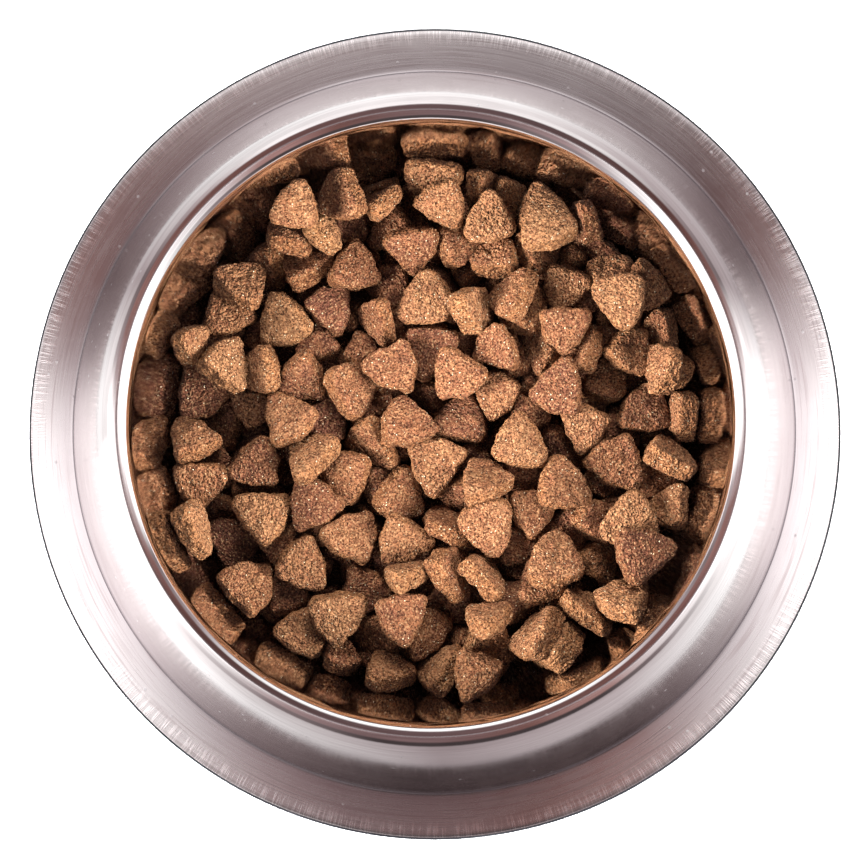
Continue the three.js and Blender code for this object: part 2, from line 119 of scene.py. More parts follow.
UNDER = [
    (-52.61, 30.1, 25.93, -0.0756, 0.0786, -0.1098, 0.9879, 8.29, 6.31, 0.6, 1),
    (50.23, 19.34, 31.38, 0.2199, -0.0189, 0.9753, 0.0023, 7.15, 6.23, 0.6, 1),
    (50.59, -24.01, 34.49, -0.053, -0.013, 0.672, 0.7385, 8.25, 6.46, 0.75, 1),
    (60.72, -7.76, 28.64, -0.5476, 0.0607, -0.345, 0.7599, 8.25, 6.56, 0.6, 1),
    (-51.06, -29.26, 19.93, 0.024, 0.0036, 0.9516, 0.3064, 7.97, 5.85, 0.2, 1),
    (4.28, -36.89, 31.8, -0.4096, 0.3163, -0.5141, 0.6841, 8.53, 6.42, 0.5, 1),
    (-15.62, -4.04, 26.72, 0.4508, -0.1454, -0.3245, 0.8188, 8.57, 5.98, 0.7, 1),
    (33.9, 35.89, 29.71, 0.1628, -0.0161, 0.103, 0.9811, 6.88, 6.18, 0.6, 1),
    (-60.59, -25.74, 34.4, -0.4993, 0.3326, -0.452, 0.6602, 8.53, 6.43, 0.75, 1),
    (25.47, -21.55, 31.19, -0.1555, 0.0098, -0.7187, 0.6776, 7.46, 5.64, 0.45, 1),
    (16.6, 8.56, 29.01, 0.0948, -0.048, -0.778, 0.6192, 7.15, 5.66, 0.65, 1),
    (-11.4, -62.45, 29.44, -0.406, 0.0974, -0.0719, 0.9058, 7.15, 6.24, 0.6, 1),
    (-1.59, -52.02, 27.4, -0.1528, 0.1081, -0.7889, 0.5853, 7.97, 6.42, 0.5, 1),
    (16.71, 43.68, 28.3, -0.299, 0.064, 0.6016, 0.7379, 7.19, 6.66, 0.5, 1),
    (10.13, 30.23, 33.62, -0.2985, 0.3949, -0.5421, 0.6791, 7.42, 6.25, 0.7, 1),
    (60.35, -20.87, 31.68, -0.2418, -0.1553, 0.4814, 0.828, 6.91, 6.1, 0.6, 1),
    (-32.53, 41.3, 25.93, -0.3791, -0.12, 0.1215, 0.9094, 7.42, 6.61, 0.5, 1),
    (-13.8, 27.86, 27.13, 0.4506, -0.3174, -0.4551, 0.6994, 7.97, 5.78, 0.55, 1),
    (0.33, 62.68, 29.9, 0.265, -0.0683, 0.1766, 0.9455, 8.53, 5.57, 0.6, 1),
    (12.81, -38.0, 33.22, -0.5764, 0.1031, -0.4677, 0.6621, 7.7, 6.26, 0.6, 1),
    (-44.26, 14.54, 28.12, 0.1797, -0.3795, -0.3497, 0.8375, 7.42, 5.93, 0.7, 1),
    (44.21, 11.76, 25.36, 0.0298, 0.173, 0.6305, 0.7561, 6.63, 5.87, 0.6, 1),
    (2.2, -62.12, 27.91, -0.4745, -0.2356, 0.2988, 0.7938, 8.25, 6.55, 0.7, 1),
    (64.03, 3.61, 25.72, 0.4178, -0.4412, -0.5076, 0.6108, 7.97, 6.25, 0.55, 1),
    (39.81, -47.08, 32.14, -0.5848, 0.0245, -0.4536, 0.6721, 8.8, 5.84, 0.65, 1),
    (-17.77, -41.88, 26.43, 0.1216, 0.0936, -0.0593, 0.9864, 7.74, 6.09, 0.35, 1),
    (58.96, 14.91, 35.36, 0.3941, -0.3924, -0.6396, 0.5306, 7.7, 5.83, 0.6, 1),
    (42.38, -34.01, 27.16, -0.3246, 0.1973, -0.4544, 0.8058, 6.91, 5.66, 0.6, 1),
    (3.98, -25.44, 27.49, -0.5725, 0.1285, -0.207, 0.7829, 8.8, 6.4, 0.55, 1),
    (14.08, -48.94, 37.61, -0.5828, 0.0194, 0.181, 0.792, 7.15, 6.55, 0.6, 1),
    (31.99, -56.51, 34.53, -0.5513, -0.1698, 0.3946, 0.7152, 8.25, 6.71, 0.75, 1),
    (-14.21, -53.72, 22.63, 0.308, -0.0326, -0.7703, 0.5574, 8.25, 5.67, 0.6, 1),
    (6.53, 47.39, 26.74, -0.1774, 0.0844, -0.745, 0.6374, 6.91, 6.48, 0.5, 1),
    (58.45, 24.34, 27.59, 0.2021, -0.2489, -0.3944, 0.8612, 6.67, 5.84, 0.4, 1),
    (-46.1, 5.52, 22.46, 0.1422, 0.0442, -0.7704, 0.6199, 6.6, 6.02, 0.8, 1),
    (-37.22, -43.1, 24.07, -0.2056, -0.0876, -0.0882, 0.9707, 6.63, 6.22, 0.35, 1),
    (-27.47, 2.26, 25.92, 0.0876, 0.0769, 0.6131, 0.7814, 7.19, 5.59, 0.15, 1),
    (-11.63, 37.31, 20.33, 0.0616, -0.0411, -0.6264, 0.776, 7.19, 6.11, 0.5, 1),
    (-55.01, 1.29, 16.79, 0.0839, -0.2143, -0.5243, 0.8198, 7.74, 6.46, 0.55, 1),
    (-43.12, 42.25, 21.05, 0.4753, -0.1776, -0.4053, 0.7605, 7.42, 6.04, 0.6, 1),
    (-61.97, 21.11, 34.07, 0.561, 0.0032, 0.8171, 0.1325, 6.6, 6.23, 0.65, 1),
    (-6.55, -38.17, 33.1, -0.6346, -0.0583, 0.1763, 0.7502, 6.88, 6.61, 0.75, 1),
    (40.66, -23.83, 30.88, -0.1515, 0.2922, -0.4632, 0.8229, 6.11, 6.16, 0.3, 1),
    (28.32, 20.29, 28.22, 0.223, -0.2834, -0.6514, 0.6676, 7.46, 6.33, 0.6, 1),
    (54.52, 35.08, 34.42, -0.1393, -0.3167, 0.7281, 0.5917, 7.46, 5.52, 0.55, 1),
    (-12.87, 57.02, 33.28, -0.597, -0.1459, 0.3004, 0.7295, 6.6, 6.19, 0.6, 1),
    (14.4, -54.89, 29.95, 0.1278, 0.1192, 0.6384, 0.7496, 7.46, 5.92, 0.65, 1),
    (22.36, -30.52, 26.91, 0.1213, 0.0385, -0.0925, 0.9875, 6.67, 6.45, 0.4, 1),
    (27.46, -40.3, 32.45, -0.2818, -0.0936, -0.0849, 0.9511, 7.22, 5.91, 0.45, 1),
    (-29.49, 21.23, 25.9, -0.1791, -0.0703, -0.2386, 0.9519, 6.36, 5.92, 0.4, 1),
    (-37.62, 48.45, 30.15, -0.5243, 0.1628, -0.0924, 0.8307, 7.42, 5.97, 0.4, 1),
    (-23.61, -58.62, 26.54, -0.3633, 0.1532, -0.1788, 0.9014, 6.05, 6.12, 0.3, 1),
    (31.7, -6.57, 23.36, 0.3667, -0.1103, -0.3033, 0.8726, 8.06, 6.43, 0.3, 1),
    (45.8, 38.91, 30.09, -0.357, -0.0165, 0.2048, 0.9112, 6.91, 5.71, 0.6, 1),
    (-18.15, 19.62, 24.51, -0.2016, -0.0481, -0.1973, 0.9582, 5.8, 6.37, 0.6, 1),
    (-10.19, 51.08, 21.86, -0.1539, -0.1675, 0.638, 0.7357, 7.74, 6.0, 0.55, 1),
    (38.6, 19.11, 31.52, -0.359, -0.2821, 0.3818, 0.8036, 6.63, 6.13, 0.45, 1),
    (57.29, -14.16, 24.11, -0.182, 0.0267, -0.166, 0.9688, 7.74, 5.88, 0.5, 1),
    (5.12, -44.26, 22.55, 0.1527, 0.0644, -0.433, 0.886, 7.46, 5.86, 0.35, 1),
    (33.7, -26.89, 27.1, 0.0562, 0.1549, -0.4044, 0.8996, 6.67, 6.36, 0.3, 1),
    (-27.77, 49.8, 30.49, -0.4943, 0.272, -0.375, 0.7356, 6.6, 6.64, 0.9, 1),
    (39.1, 52.54, 36.05, 0.5481, -0.3593, -0.4591, 0.5998, 6.67, 5.53, 0.2, 1),
    (12.09, 62.04, 28.9, -0.3432, 0.4655, -0.6193, 0.531, 6.11, 6.73, 0.6, 1),
    (-0.32, 7.11, 17.21, 0.1285, -0.4655, 0.2909, 0.8259, 8.13, 6.1, 0.4, 1),
    (20.52, 58.98, 26.99, 0.2159, -0.0168, 0.8234, 0.5246, 6.63, 6.12, 0.65, 1),
    (23.67, 29.82, 27.85, -0.4398, -0.1862, 0.4328, 0.7646, 8.02, 6.62, 0.45, 1),
    (26.93, 44.99, 27.52, -0.0709, 0.2698, 0.1542, 0.9478, 6.91, 6.12, 0.5, 1),
    (23.61, -13.79, 26.67, 0.1424, 0.1011, 0.0621, 0.9827, 6.91, 5.55, 0.3, 1),
    (-12.44, -15.69, 22.48, -0.2198, 0.2688, -0.6735, 0.6526, 7.74, 6.29, 0.5, 1),
    (27.89, 55.67, 31.71, -0.1058, -0.0079, -0.1497, 0.983, 7.7, 5.76, 0.7, 1),
    (24.5, 3.13, 25.48, 0.0576, 0.0186, -0.0363, 0.9975, 6.39, 6.07, 0.55, 1),
    (34.36, 43.36, 22.27, -0.2055, -0.3004, -0.0642, 0.9292, 6.63, 5.7, 0.7, 1),
    (21.01, -44.33, 26.5, -0.3451, -0.0362, 0.097, 0.9328, 7.22, 5.81, 0.3, 1),
    (-39.24, -29.29, 24.2, -0.06, 0.0315, 0.9685, 0.2397, 6.63, 5.69, 0.55, 1),
    (43.39, 44.31, 21.88, 0.0332, -0.3134, -0.0497, 0.9477, 6.39, 5.87, 0.35, 1),
    (-16.42, 4.34, 22.63, 0.2227, 0.1042, 0.4129, 0.877, 6.91, 6.07, 0.6, 1),
    (-14.26, 60.8, 22.7, -0.5928, -0.1671, 0.1311, 0.7768, 7.42, 6.0, 0.8, 1),
    (6.93, -16.89, 24.31, 0.4135, 0.0194, -0.5906, 0.6927, 6.11, 6.24, 0.6, 1),
    (-45.81, -18.43, 20.54, -0.4213, -0.0019, 0.0624, 0.9047, 8.29, 6.69, 0.6, 1),
    (-54.41, -22.32, 15.62, 0.2567, 0.042, -0.1095, 0.9594, 6.63, 5.85, 0.45, 1),
    (45.81, -12.99, 21.59, -0.2691, 0.1719, -0.9396, 0.1233, 8.07, 6.1, 0.4, 1),
    (8.96, 41.36, 21.63, -0.0071, -0.2986, -0.6947, 0.6543, 6.11, 6.01, 0.6, 1),
    (9.95, -8.76, 22.73, 0.2536, -0.0114, -0.2072, 0.9448, 6.11, 6.45, 0.15, 1),
    (-22.04, 52.46, 22.12, -0.1001, 0.1298, -0.259, 0.9519, 6.11, 6.21, 0.25, 1),
    (62.71, 14.75, 28.43, 0.4764, -0.3028, -0.6538, 0.5039, 5.56, 6.04, 0.45, 0),
    (-39.28, 19.24, 14.71, -0.1233, 0.992, 0.0103, 0.0253, 7.83, 6.1, 0.4, 0),
    (-18.6, -25.13, 16.43, 0.2435, -0.2667, 0.5571, 0.7478, 7.91, 6.1, 0.4, 0),
    (-43.85, 23.82, 20.13, 0.0361, -0.1788, -0.4557, 0.8713, 5.56, 6.17, 0.55, 0),
    (-40.77, -9.9, 14.71, -0.2316, 0.9719, -0.02, 0.0357, 7.47, 6.1, 0.4, 0),
    (-29.47, 36.23, 20.91, -0.1136, 0.0653, -0.2574, 0.9574, 6.39, 5.79, 0.35, 0),
    (47.73, 0.42, 22.27, -0.1276, 0.1067, -0.0409, 0.9852, 5.56, 5.83, 0.4, 0),
    (-58.02, -8.39, 21.09, -0.0413, 0.0713, -0.0678, 0.9943, 6.36, 6.43, 0.4, 0),
    (39.39, -43.02, 16.53, 0.0148, 0.4703, -0.8052, 0.3608, 7.05, 6.1, 0.4, 0),
    (38.92, 34.53, 23.04, 0.1102, 0.067, -0.3205, 0.9384, 6.39, 5.78, 0.4, 0),
    (-40.62, 34.66, 14.73, -0.0281, 0.0431, 0.5034, 0.8625, 6.39, 5.81, 0.4, 0),
    (0.22, 36.91, 21.24, 0.1529, -0.0383, -0.0459, 0.9864, 6.39, 5.73, 0.3, 0),
    (-23.7, 29.56, 17.38, -0.1927, 0.4728, 0.8598, 0.0054, 8.0, 6.1, 0.4, 0),
    (19.13, -3.6, 16.42, -0.611, -0.6618, 0.4297, 0.0644, 7.13, 6.1, 0.4, 0),
    (-55.16, 24.38, 20.56, -0.0483, 0.0305, 0.0498, 0.9971, 6.39, 6.29, 0.3, 0),
    (-7.26, 26.79, 22.94, 0.0477, 0.2356, 0.1129, 0.9641, 5.56, 6.12, 0.35, 0),
    (21.76, -34.48, 19.13, -0.2358, 0.1161, 0.9645, 0.0276, 7.92, 6.1, 0.4, 0),
    (8.53, 19.02, 23.2, 0.106, 0.9662, -0.196, 0.1298, 8.06, 6.1, 0.4, 0),
    (19.23, 18.55, 26.15, -0.1655, -0.4817, 0.5261, 0.6811, 7.03, 6.1, 0.4, 0),
    (-46.96, -7.18, 19.66, 0.2429, 0.8299, -0.1332, 0.4843, 7.8, 6.1, 0.4, 0),
    (9.92, -53.62, 22.14, 0.4105, -0.604, 0.5506, 0.4044, 7.54, 6.1, 0.4, 0),
    (-0.46, 47.98, 18.72, 0.7698, 0.0097, -0.5457, 0.3311, 8.07, 6.1, 0.4, 0),
    (-10.31, -36.8, 21.94, 0.2491, 0.0477, 0.0485, 0.9661, 6.67, 5.85, 0.3, 0),
    (26.53, 12.8, 23.22, -0.3305, 0.2021, -0.0798, 0.9184, 6.11, 5.9, 0.5, 0),
    (-22.93, 20.89, 14.71, 0.0948, 0.9947, 0.0252, 0.0322, 7.65, 6.1, 0.4, 0),
    (58.83, -1.52, 18.49, 0.0427, 0.1674, -0.0121, 0.9849, 6.67, 5.71, 0.3, 0),
    (51.37, 11.82, 19.94, 0.1098, 0.1654, -0.0151, 0.98, 5.0, 6.09, 0.4, 0),
    (45.14, 21.89, 23.18, 0.6694, -0.005, -0.306, 0.677, 8.05, 6.1, 0.4, 0),
    (31.03, -46.96, 28.08, -0.033, 0.1615, -0.0517, 0.985, 5.56, 6.16, 0.45, 0),
    (-43.02, -32.48, 14.71, 0.5558, 0.8309, 0.0, 0.0243, 7.5, 6.1, 0.4, 0),
    (13.18, -31.27, 22.18, 0.2476, -0.0991, -0.2179, 0.9388, 6.11, 6.25, 0.55, 0),
    (-40.32, -46.83, 18.14, -0.3136, 0.1972, -0.4996, 0.783, 5.83, 5.74, 0.4, 0),
    (-8.84, 58.12, 14.71, -0.0271, -0.0177, 0.3827, 0.9233, 7.36, 6.1, 0.4, 0),
    (-44.98, 2.06, 15.22, 0.1222, 0.0117, -0.1655, 0.9785, 6.11, 6.38, 0.3, 0),
    (-28.95, 16.88, 19.48, 0.4663, 0.8713, 0.1304, 0.0793, 7.5, 6.1, 0.4, 0),
    (10.5, 30.35, 22.73, -0.829, 0.4333, 0.1966, 0.2937, 7.81, 6.1, 0.4, 0),
    (-28.17, -25.16, 22.8, -0.5476, -0.0781, 0.3081, 0.774, 7.25, 6.1, 0.4, 0),
    (-18.59, -34.77, 20.51, 0.3154, 0.3006, 0.2049, 0.8765, 7.63, 6.1, 0.4, 0),
    (-4.32, -34.78, 16.2, -0.2242, -0.1832, 0.9508, 0.1104, 8.08, 6.1, 0.4, 0),
    (-25.27, -46.27, 20.8, -0.0159, 0.103, 0.2392, 0.9654, 7.77, 6.1, 0.4, 0),
    (41.63, 5.23, 17.41, -0.1934, -0.6867, -0.142, 0.6863, 8.13, 6.1, 0.4, 0),
    (26.58, 1.23, 16.49, -0.5576, -0.7509, 0.3536, 0.0145, 8.14, 6.1, 0.4, 0),
    (-20.66, 42.81, 17.52, -0.909, -0.1779, 0.0696, 0.3705, 8.13, 6.1, 0.4, 0),
    (18.42, 35.27, 17.26, 0.5565, -0.6189, -0.5328, 0.1527, 7.82, 6.1, 0.4, 0),
    (-7.55, -61.0, 17.15, -0.0718, 0.4863, 0.8671, 0.0806, 7.36, 6.1, 0.4, 0),
    (7.7, 36.75, 16.1, 0.1453, -0.2721, -0.9299, 0.2002, 7.52, 6.1, 0.4, 0),
    (-25.34, -31.09, 16.78, -0.0225, 0.7398, 0.5686, 0.359, 7.11, 6.1, 0.4, 0),
    (49.33, -2.28, 15.94, -0.2749, 0.1163, 0.3431, 0.8906, 7.04, 6.1, 0.4, 0),
    (12.75, -42.43, 15.82, 0.2404, 0.0263, 0.961, 0.1343, 7.33, 6.1, 0.4, 0),
    (-19.44, -4.55, 16.23, 0.4342, -0.8404, 0.1959, 0.2583, 7.67, 6.1, 0.4, 0),
    (-4.59, -55.03, 21.51, -0.2677, 0.1437, -0.8425, 0.4449, 5.56, 5.53, 0.7, 0),
    (7.54, 24.55, 15.08, -0.0681, -0.065, -0.874, 0.4767, 7.68, 6.1, 0.4, 0),
    (17.03, -55.02, 14.71, 0.7015, -0.7119, 0.0329, 0.005, 7.39, 6.1, 0.4, 0),
    (-7.7, 43.71, 14.71, -0.3426, 0.9386, 0.0364, 0.0183, 7.62, 6.1, 0.4, 0),
    (-33.49, -5.46, 21.52, 0.2725, -0.0525, -0.81, 0.5166, 7.23, 6.1, 0.4, 0),
    (-8.35, -1.65, 21.1, -0.2719, -0.2751, 0.4205, 0.8207, 7.56, 6.1, 0.4, 0),
    (9.02, 58.83, 18.79, -0.5243, -0.0532, 0.8354, 0.156, 7.61, 6.1, 0.4, 0),
    (46.64, -22.16, 25.07, 0.1442, -0.1017, -0.583, 0.7931, 6.11, 6.09, 0.45, 0),
    (6.54, -32.91, 14.71, -0.9943, -0.0993, 0.0313, 0.0227, 7.98, 6.1, 0.4, 0),
    (-34.21, -22.46, 14.71, 0.0381, -0.0098, 0.846, 0.5317, 7.79, 6.1, 0.4, 0),
    (48.98, 29.22, 23.4, 0.2849, -0.1908, -0.9368, 0.0697, 6.95, 6.01, 0.6, 0),
    (-52.9, 19.96, 14.71, 0.8483, -0.5279, 0.0271, 0.0297, 7.77, 6.1, 0.4, 0),
    (54.49, 29.15, 17.12, 0.1104, -0.5586, 0.1054, 0.8153, 7.57, 6.1, 0.4, 0),
    (-32.15, -36.61, 19.22, 0.4564, -0.2369, 0.2642, 0.816, 8.15, 6.1, 0.4, 0),
    (-0.95, -15.24, 17.08, -0.4517, -0.5442, -0.4895, 0.5101, 7.7, 6.1, 0.4, 0),
    (42.98, -11.36, 16.06, 0.1641, 0.2507, 0.2131, 0.93, 7.45, 6.1, 0.4, 0),
    (14.66, -61.61, 25.24, -0.3074, 0.1781, 0.0485, 0.9335, 5.56, 5.53, 0.6, 0),
    (-17.3, -54.03, 14.71, 0.0313, -0.0222, -0.8624, 0.5048, 8.03, 6.1, 0.4, 0),
    (20.75, 23.39, 16.13, 0.8672, -0.4021, -0.1927, 0.2216, 7.8, 6.1, 0.4, 0),
    (-18.67, 52.38, 14.71, 0.0363, -0.0148, 0.7793, 0.6254, 8.04, 6.1, 0.4, 0),
    (47.19, -41.11, 22.86, -0.2166, -0.1424, 0.244, 0.9345, 5.83, 5.94, 0.45, 0),
    (-57.53, -10.95, 14.71, -0.0375, -0.0089, -0.8892, 0.4558, 8.11, 6.1, 0.4, 0),
    (10.86, -0.88, 17.17, 0.6985, 0.109, 0.704, 0.0679, 7.3, 6.1, 0.4, 0),
    (-4.13, -3.5, 14.71, -0.0302, 0.0069, 0.8751, 0.4829, 7.25, 6.1, 0.4, 0),
    (2.95, -6.29, 19.32, -0.8626, 0.2946, 0.3974, 0.1056, 7.65, 6.1, 0.4, 0),
    (29.72, 44.1, 14.71, 0.3711, 0.9278, -0.037, 0.0053, 7.92, 6.1, 0.4, 0),
    (13.2, 13.95, 16.04, 0.1487, -0.2988, 0.2032, 0.9205, 7.09, 6.1, 0.4, 0),
    (24.73, -43.66, 17.59, -0.1527, -0.4509, -0.5181, 0.7106, 8.11, 6.1, 0.4, 0),
    (-36.41, 7.58, 17.48, -0.6091, 0.2402, 0.1965, 0.7299, 7.91, 6.1, 0.4, 0),
    (-1.35, 25.69, 16.88, -0.4826, -0.1789, 0.6964, 0.5002, 7.39, 6.1, 0.4, 0),
    (-30.88, 36.46, 14.71, -0.0404, -0.0123, -0.8689, 0.4931, 7.07, 6.1, 0.4, 0),
    (27.17, 29.04, 17.77, 0.242, 0.2374, 0.8385, 0.4265, 8.17, 6.1, 0.4, 0),
    (6.01, -60.07, 16.53, -0.088, 0.3205, 0.7896, 0.5159, 8.0, 6.1, 0.4, 0),
    (-13.23, -16.77, 14.71, -0.04, -0.0176, -0.9913, 0.124, 7.04, 6.1, 0.4, 0),
    (-13.52, 10.94, 17.33, 0.4261, 0.0127, -0.0243, 0.9042, 7.52, 6.1, 0.4, 0),
    (38.39, -21.21, 19.23, 0.1178, 0.165, -0.1394, 0.9693, 6.95, 6.33, 0.35, 0),
    (33.7, 10.21, 15.22, -0.1616, -0.9811, 0.007, 0.1065, 8.2, 6.1, 0.4, 0),
    (20.78, -12.35, 17.95, 0.3431, -0.6764, 0.4754, 0.4457, 7.97, 6.1, 0.4, 0),
    (25.7, 54.66, 18.17, -0.4897, -0.7501, 0.1391, 0.4221, 7.16, 6.1, 0.4, 0),
    (11.48, -20.1, 17.03, -0.7144, 0.6322, -0.3001, 0.0034, 7.85, 6.1, 0.4, 0),
    (-23.32, 8.02, 17.84, -0.3561, 0.4909, -0.5652, 0.5593, 7.78, 6.15, 0.7, 0),
    (17.78, 43.6, 16.64, -0.6967, 0.1166, 0.2937, 0.6441, 7.07, 6.1, 0.4, 0),
    (-37.75, 48.21, 17.26, 0.3989, 0.3689, 0.2431, 0.8036, 7.86, 6.1, 0.4, 0),
    (46.28, -28.73, 14.71, -0.1138, -0.9927, 0.0046, 0.0404, 7.46, 6.1, 0.4, 0),
    (37.6, -1.89, 21.76, 0.0503, -0.4339, 0.6493, 0.6225, 7.47, 6.1, 0.4, 0),
    (36.8, 22.09, 14.71, -0.001, -0.0308, -0.9883, 0.1494, 7.8, 6.1, 0.4, 0),
    (32.98, -30.18, 14.71, -0.5808, -0.8133, -0.0067, 0.0342, 8.08, 6.1, 0.4, 0),
    (-22.83, -15.36, 16.96, 0.9034, -0.0927, 0.3725, 0.1913, 7.53, 6.1, 0.4, 0),
    (48.17, 17.58, 14.71, -0.0405, 0.014, -0.1098, 0.993, 7.28, 6.1, 0.4, 0),
    (41.64, 40.74, 14.71, -0.0182, 0.034, -0.2612, 0.9645, 8.11, 6.1, 0.4, 0),
    (32.07, -51.67, 22.56, -0.319, 0.073, 0.587, 0.7405, 7.57, 6.1, 0.4, 0),
    (57.96, -20.22, 16.75, 0.6992, -0.107, 0.7054, 0.0443, 7.17, 6.1, 0.4, 0),
    (-11.79, 18.84, 16.88, 0.1806, 0.3336, -0.8517, 0.3615, 7.87, 6.1, 0.4, 0),
    (20.08, 9.23, 17.3, -0.1018, 0.6835, -0.563, 0.4533, 7.92, 6.1, 0.4, 0),
    (-14.09, -43.05, 14.71, 0.8605, 0.5078, 0.007, 0.0394, 7.46, 6.1, 0.4, 0),
    (6.54, 10.35, 17.55, -0.5192, 0.7128, -0.0375, 0.4701, 8.04, 6.1, 0.4, 0),
    (33.62, -34.44, 20.61, 0.0264, 0.0184, 0.1705, 0.9848, 7.56, 6.1, 0.4, 0),
    (-29.24, -13.3, 19.08, 0.1449, 0.8416, -0.1651, 0.4934, 7.47, 6.1, 0.4, 0),
    (-27.79, -46.72, 14.71, -0.909, -0.4148, 0.0376, 0.012, 7.73, 6.1, 0.4, 0),
    (-10.81, 27.87, 14.71, 0.0307, -0.002, 0.4875, 0.8726, 7.13, 6.1, 0.4, 0),
    (22.37, -23.2, 14.71, -0.0116, 0.0379, -0.4665, 0.8836, 7.78, 6.1, 0.4, 0),
    (30.55, -19.22, 21.23, 0.7545, 0.266, 0.5424, 0.2564, 7.26, 6.1, 0.4, 0),
    (2.88, -46.62, 15.4, 0.0943, -0.1304, 0.7595, 0.6303, 7.07, 6.1, 0.4, 0),
    (57.96, 17.84, 19.01, 0.449, 0.5462, 0.6537, 0.2698, 7.54, 6.1, 0.4, 0)
]

MM = 0.001
rng0 = np.random.default_rng(11)
LATTICE = rng0.random((48, 48, 48)).astype(np.float32)


def noise(p, scale, shift=0.0):
    """Smooth value noise, -1 to 1, at points p in mm."""
    q = p / scale + shift + 1000.0
    i = np.floor(q).astype(np.int64)
    f = (q - i)
    f = f * f * (3 - 2 * f)
    out = 0
    for dx in (0, 1):
        for dy in (0, 1):
            for dz in (0, 1):
                w = (f[:, 0] if dx else 1 - f[:, 0]) * (f[:, 1] if dy else 1 - f[:, 1]) * (f[:, 2] if dz else 1 - f[:, 2])
                out = out + w * LATTICE[(i[:, 0] + dx) % 48, (i[:, 1] + dy) % 48, (i[:, 2] + dz) % 48]
    return out * 2 - 1


def sphere(sub):
    bm = bmesh.new()
    bmesh.ops.create_icosphere(bm, subdivisions=sub, radius=1.0)
    v = np.array([x.co[:] for x in bm.verts])
    f = np.array([[x.index for x in t.verts] for t in bm.faces])
    bm.free()
    return v, f


SPHERE = {1: sphere(5), 0: sphere(4)}


def outline_table(n=720, a=0.68, b=0.32, bulge=0.045):
    """Radius of the rounded triangle against angle, tip radius 1."""
    phi = np.linspace(0, 2 * math.pi, n, endpoint=False)
    d = np.stack([np.cos(phi), np.sin(phi)], 1)
    v = [np.array([math.cos(t), math.sin(t)]) * a for t in (0, 2 * math.pi / 3, 4 * math.pi / 3)]
    lo, hi = np.zeros(n), np.full(n, 1.5)
    for _ in range(40):
        m = (lo + hi) / 2
        q = d * m[:, None]
        best = np.full(n, 9.0)
        inside = np.ones(n, bool)
        for k in range(3):
            s, e = v[k], v[(k + 1) % 3] - v[k]
            w = q - s
            t = np.clip((w @ e) / (e @ e), 0, 1)
            best = np.minimum(best, np.linalg.norm(w - t[:, None] * e, axis=1))
            inside &= (e[0] * w[:, 1] - e[1] * w[:, 0]) >= 0
        dist = np.where(inside, -best, best)
        lo = np.where(dist < b, m, lo)
        hi = np.where(dist < b, hi, m)
    return lo + bulge * (1 - np.cos(3 * phi)) / 2


OUTLINES = [outline_table(a=a, b=1.0 - a, bulge=g) for a, g in ((0.74, 0.11), (0.78, 0.14), (0.70, 0.09), (0.68, 0.12), (0.76, 0.12), (0.60, 0.07))]


def quat_matrix(x, y, z, w):
    n = math.sqrt(x * x + y * y + z * z + w * w)
    x, y, z, w = x / n, y / n, z / n, w / n
    return np.array([
        [1 - 2 * (y * y + z * z), 2 * (x * y - z * w), 2 * (x * z + y * w)],
        [2 * (x * y + z * w), 1 - 2 * (x * x + z * z), 2 * (y * z - x * w)],
        [2 * (x * z - y * w), 2 * (y * z + x * w), 1 - 2 * (x * x + y * y)]])


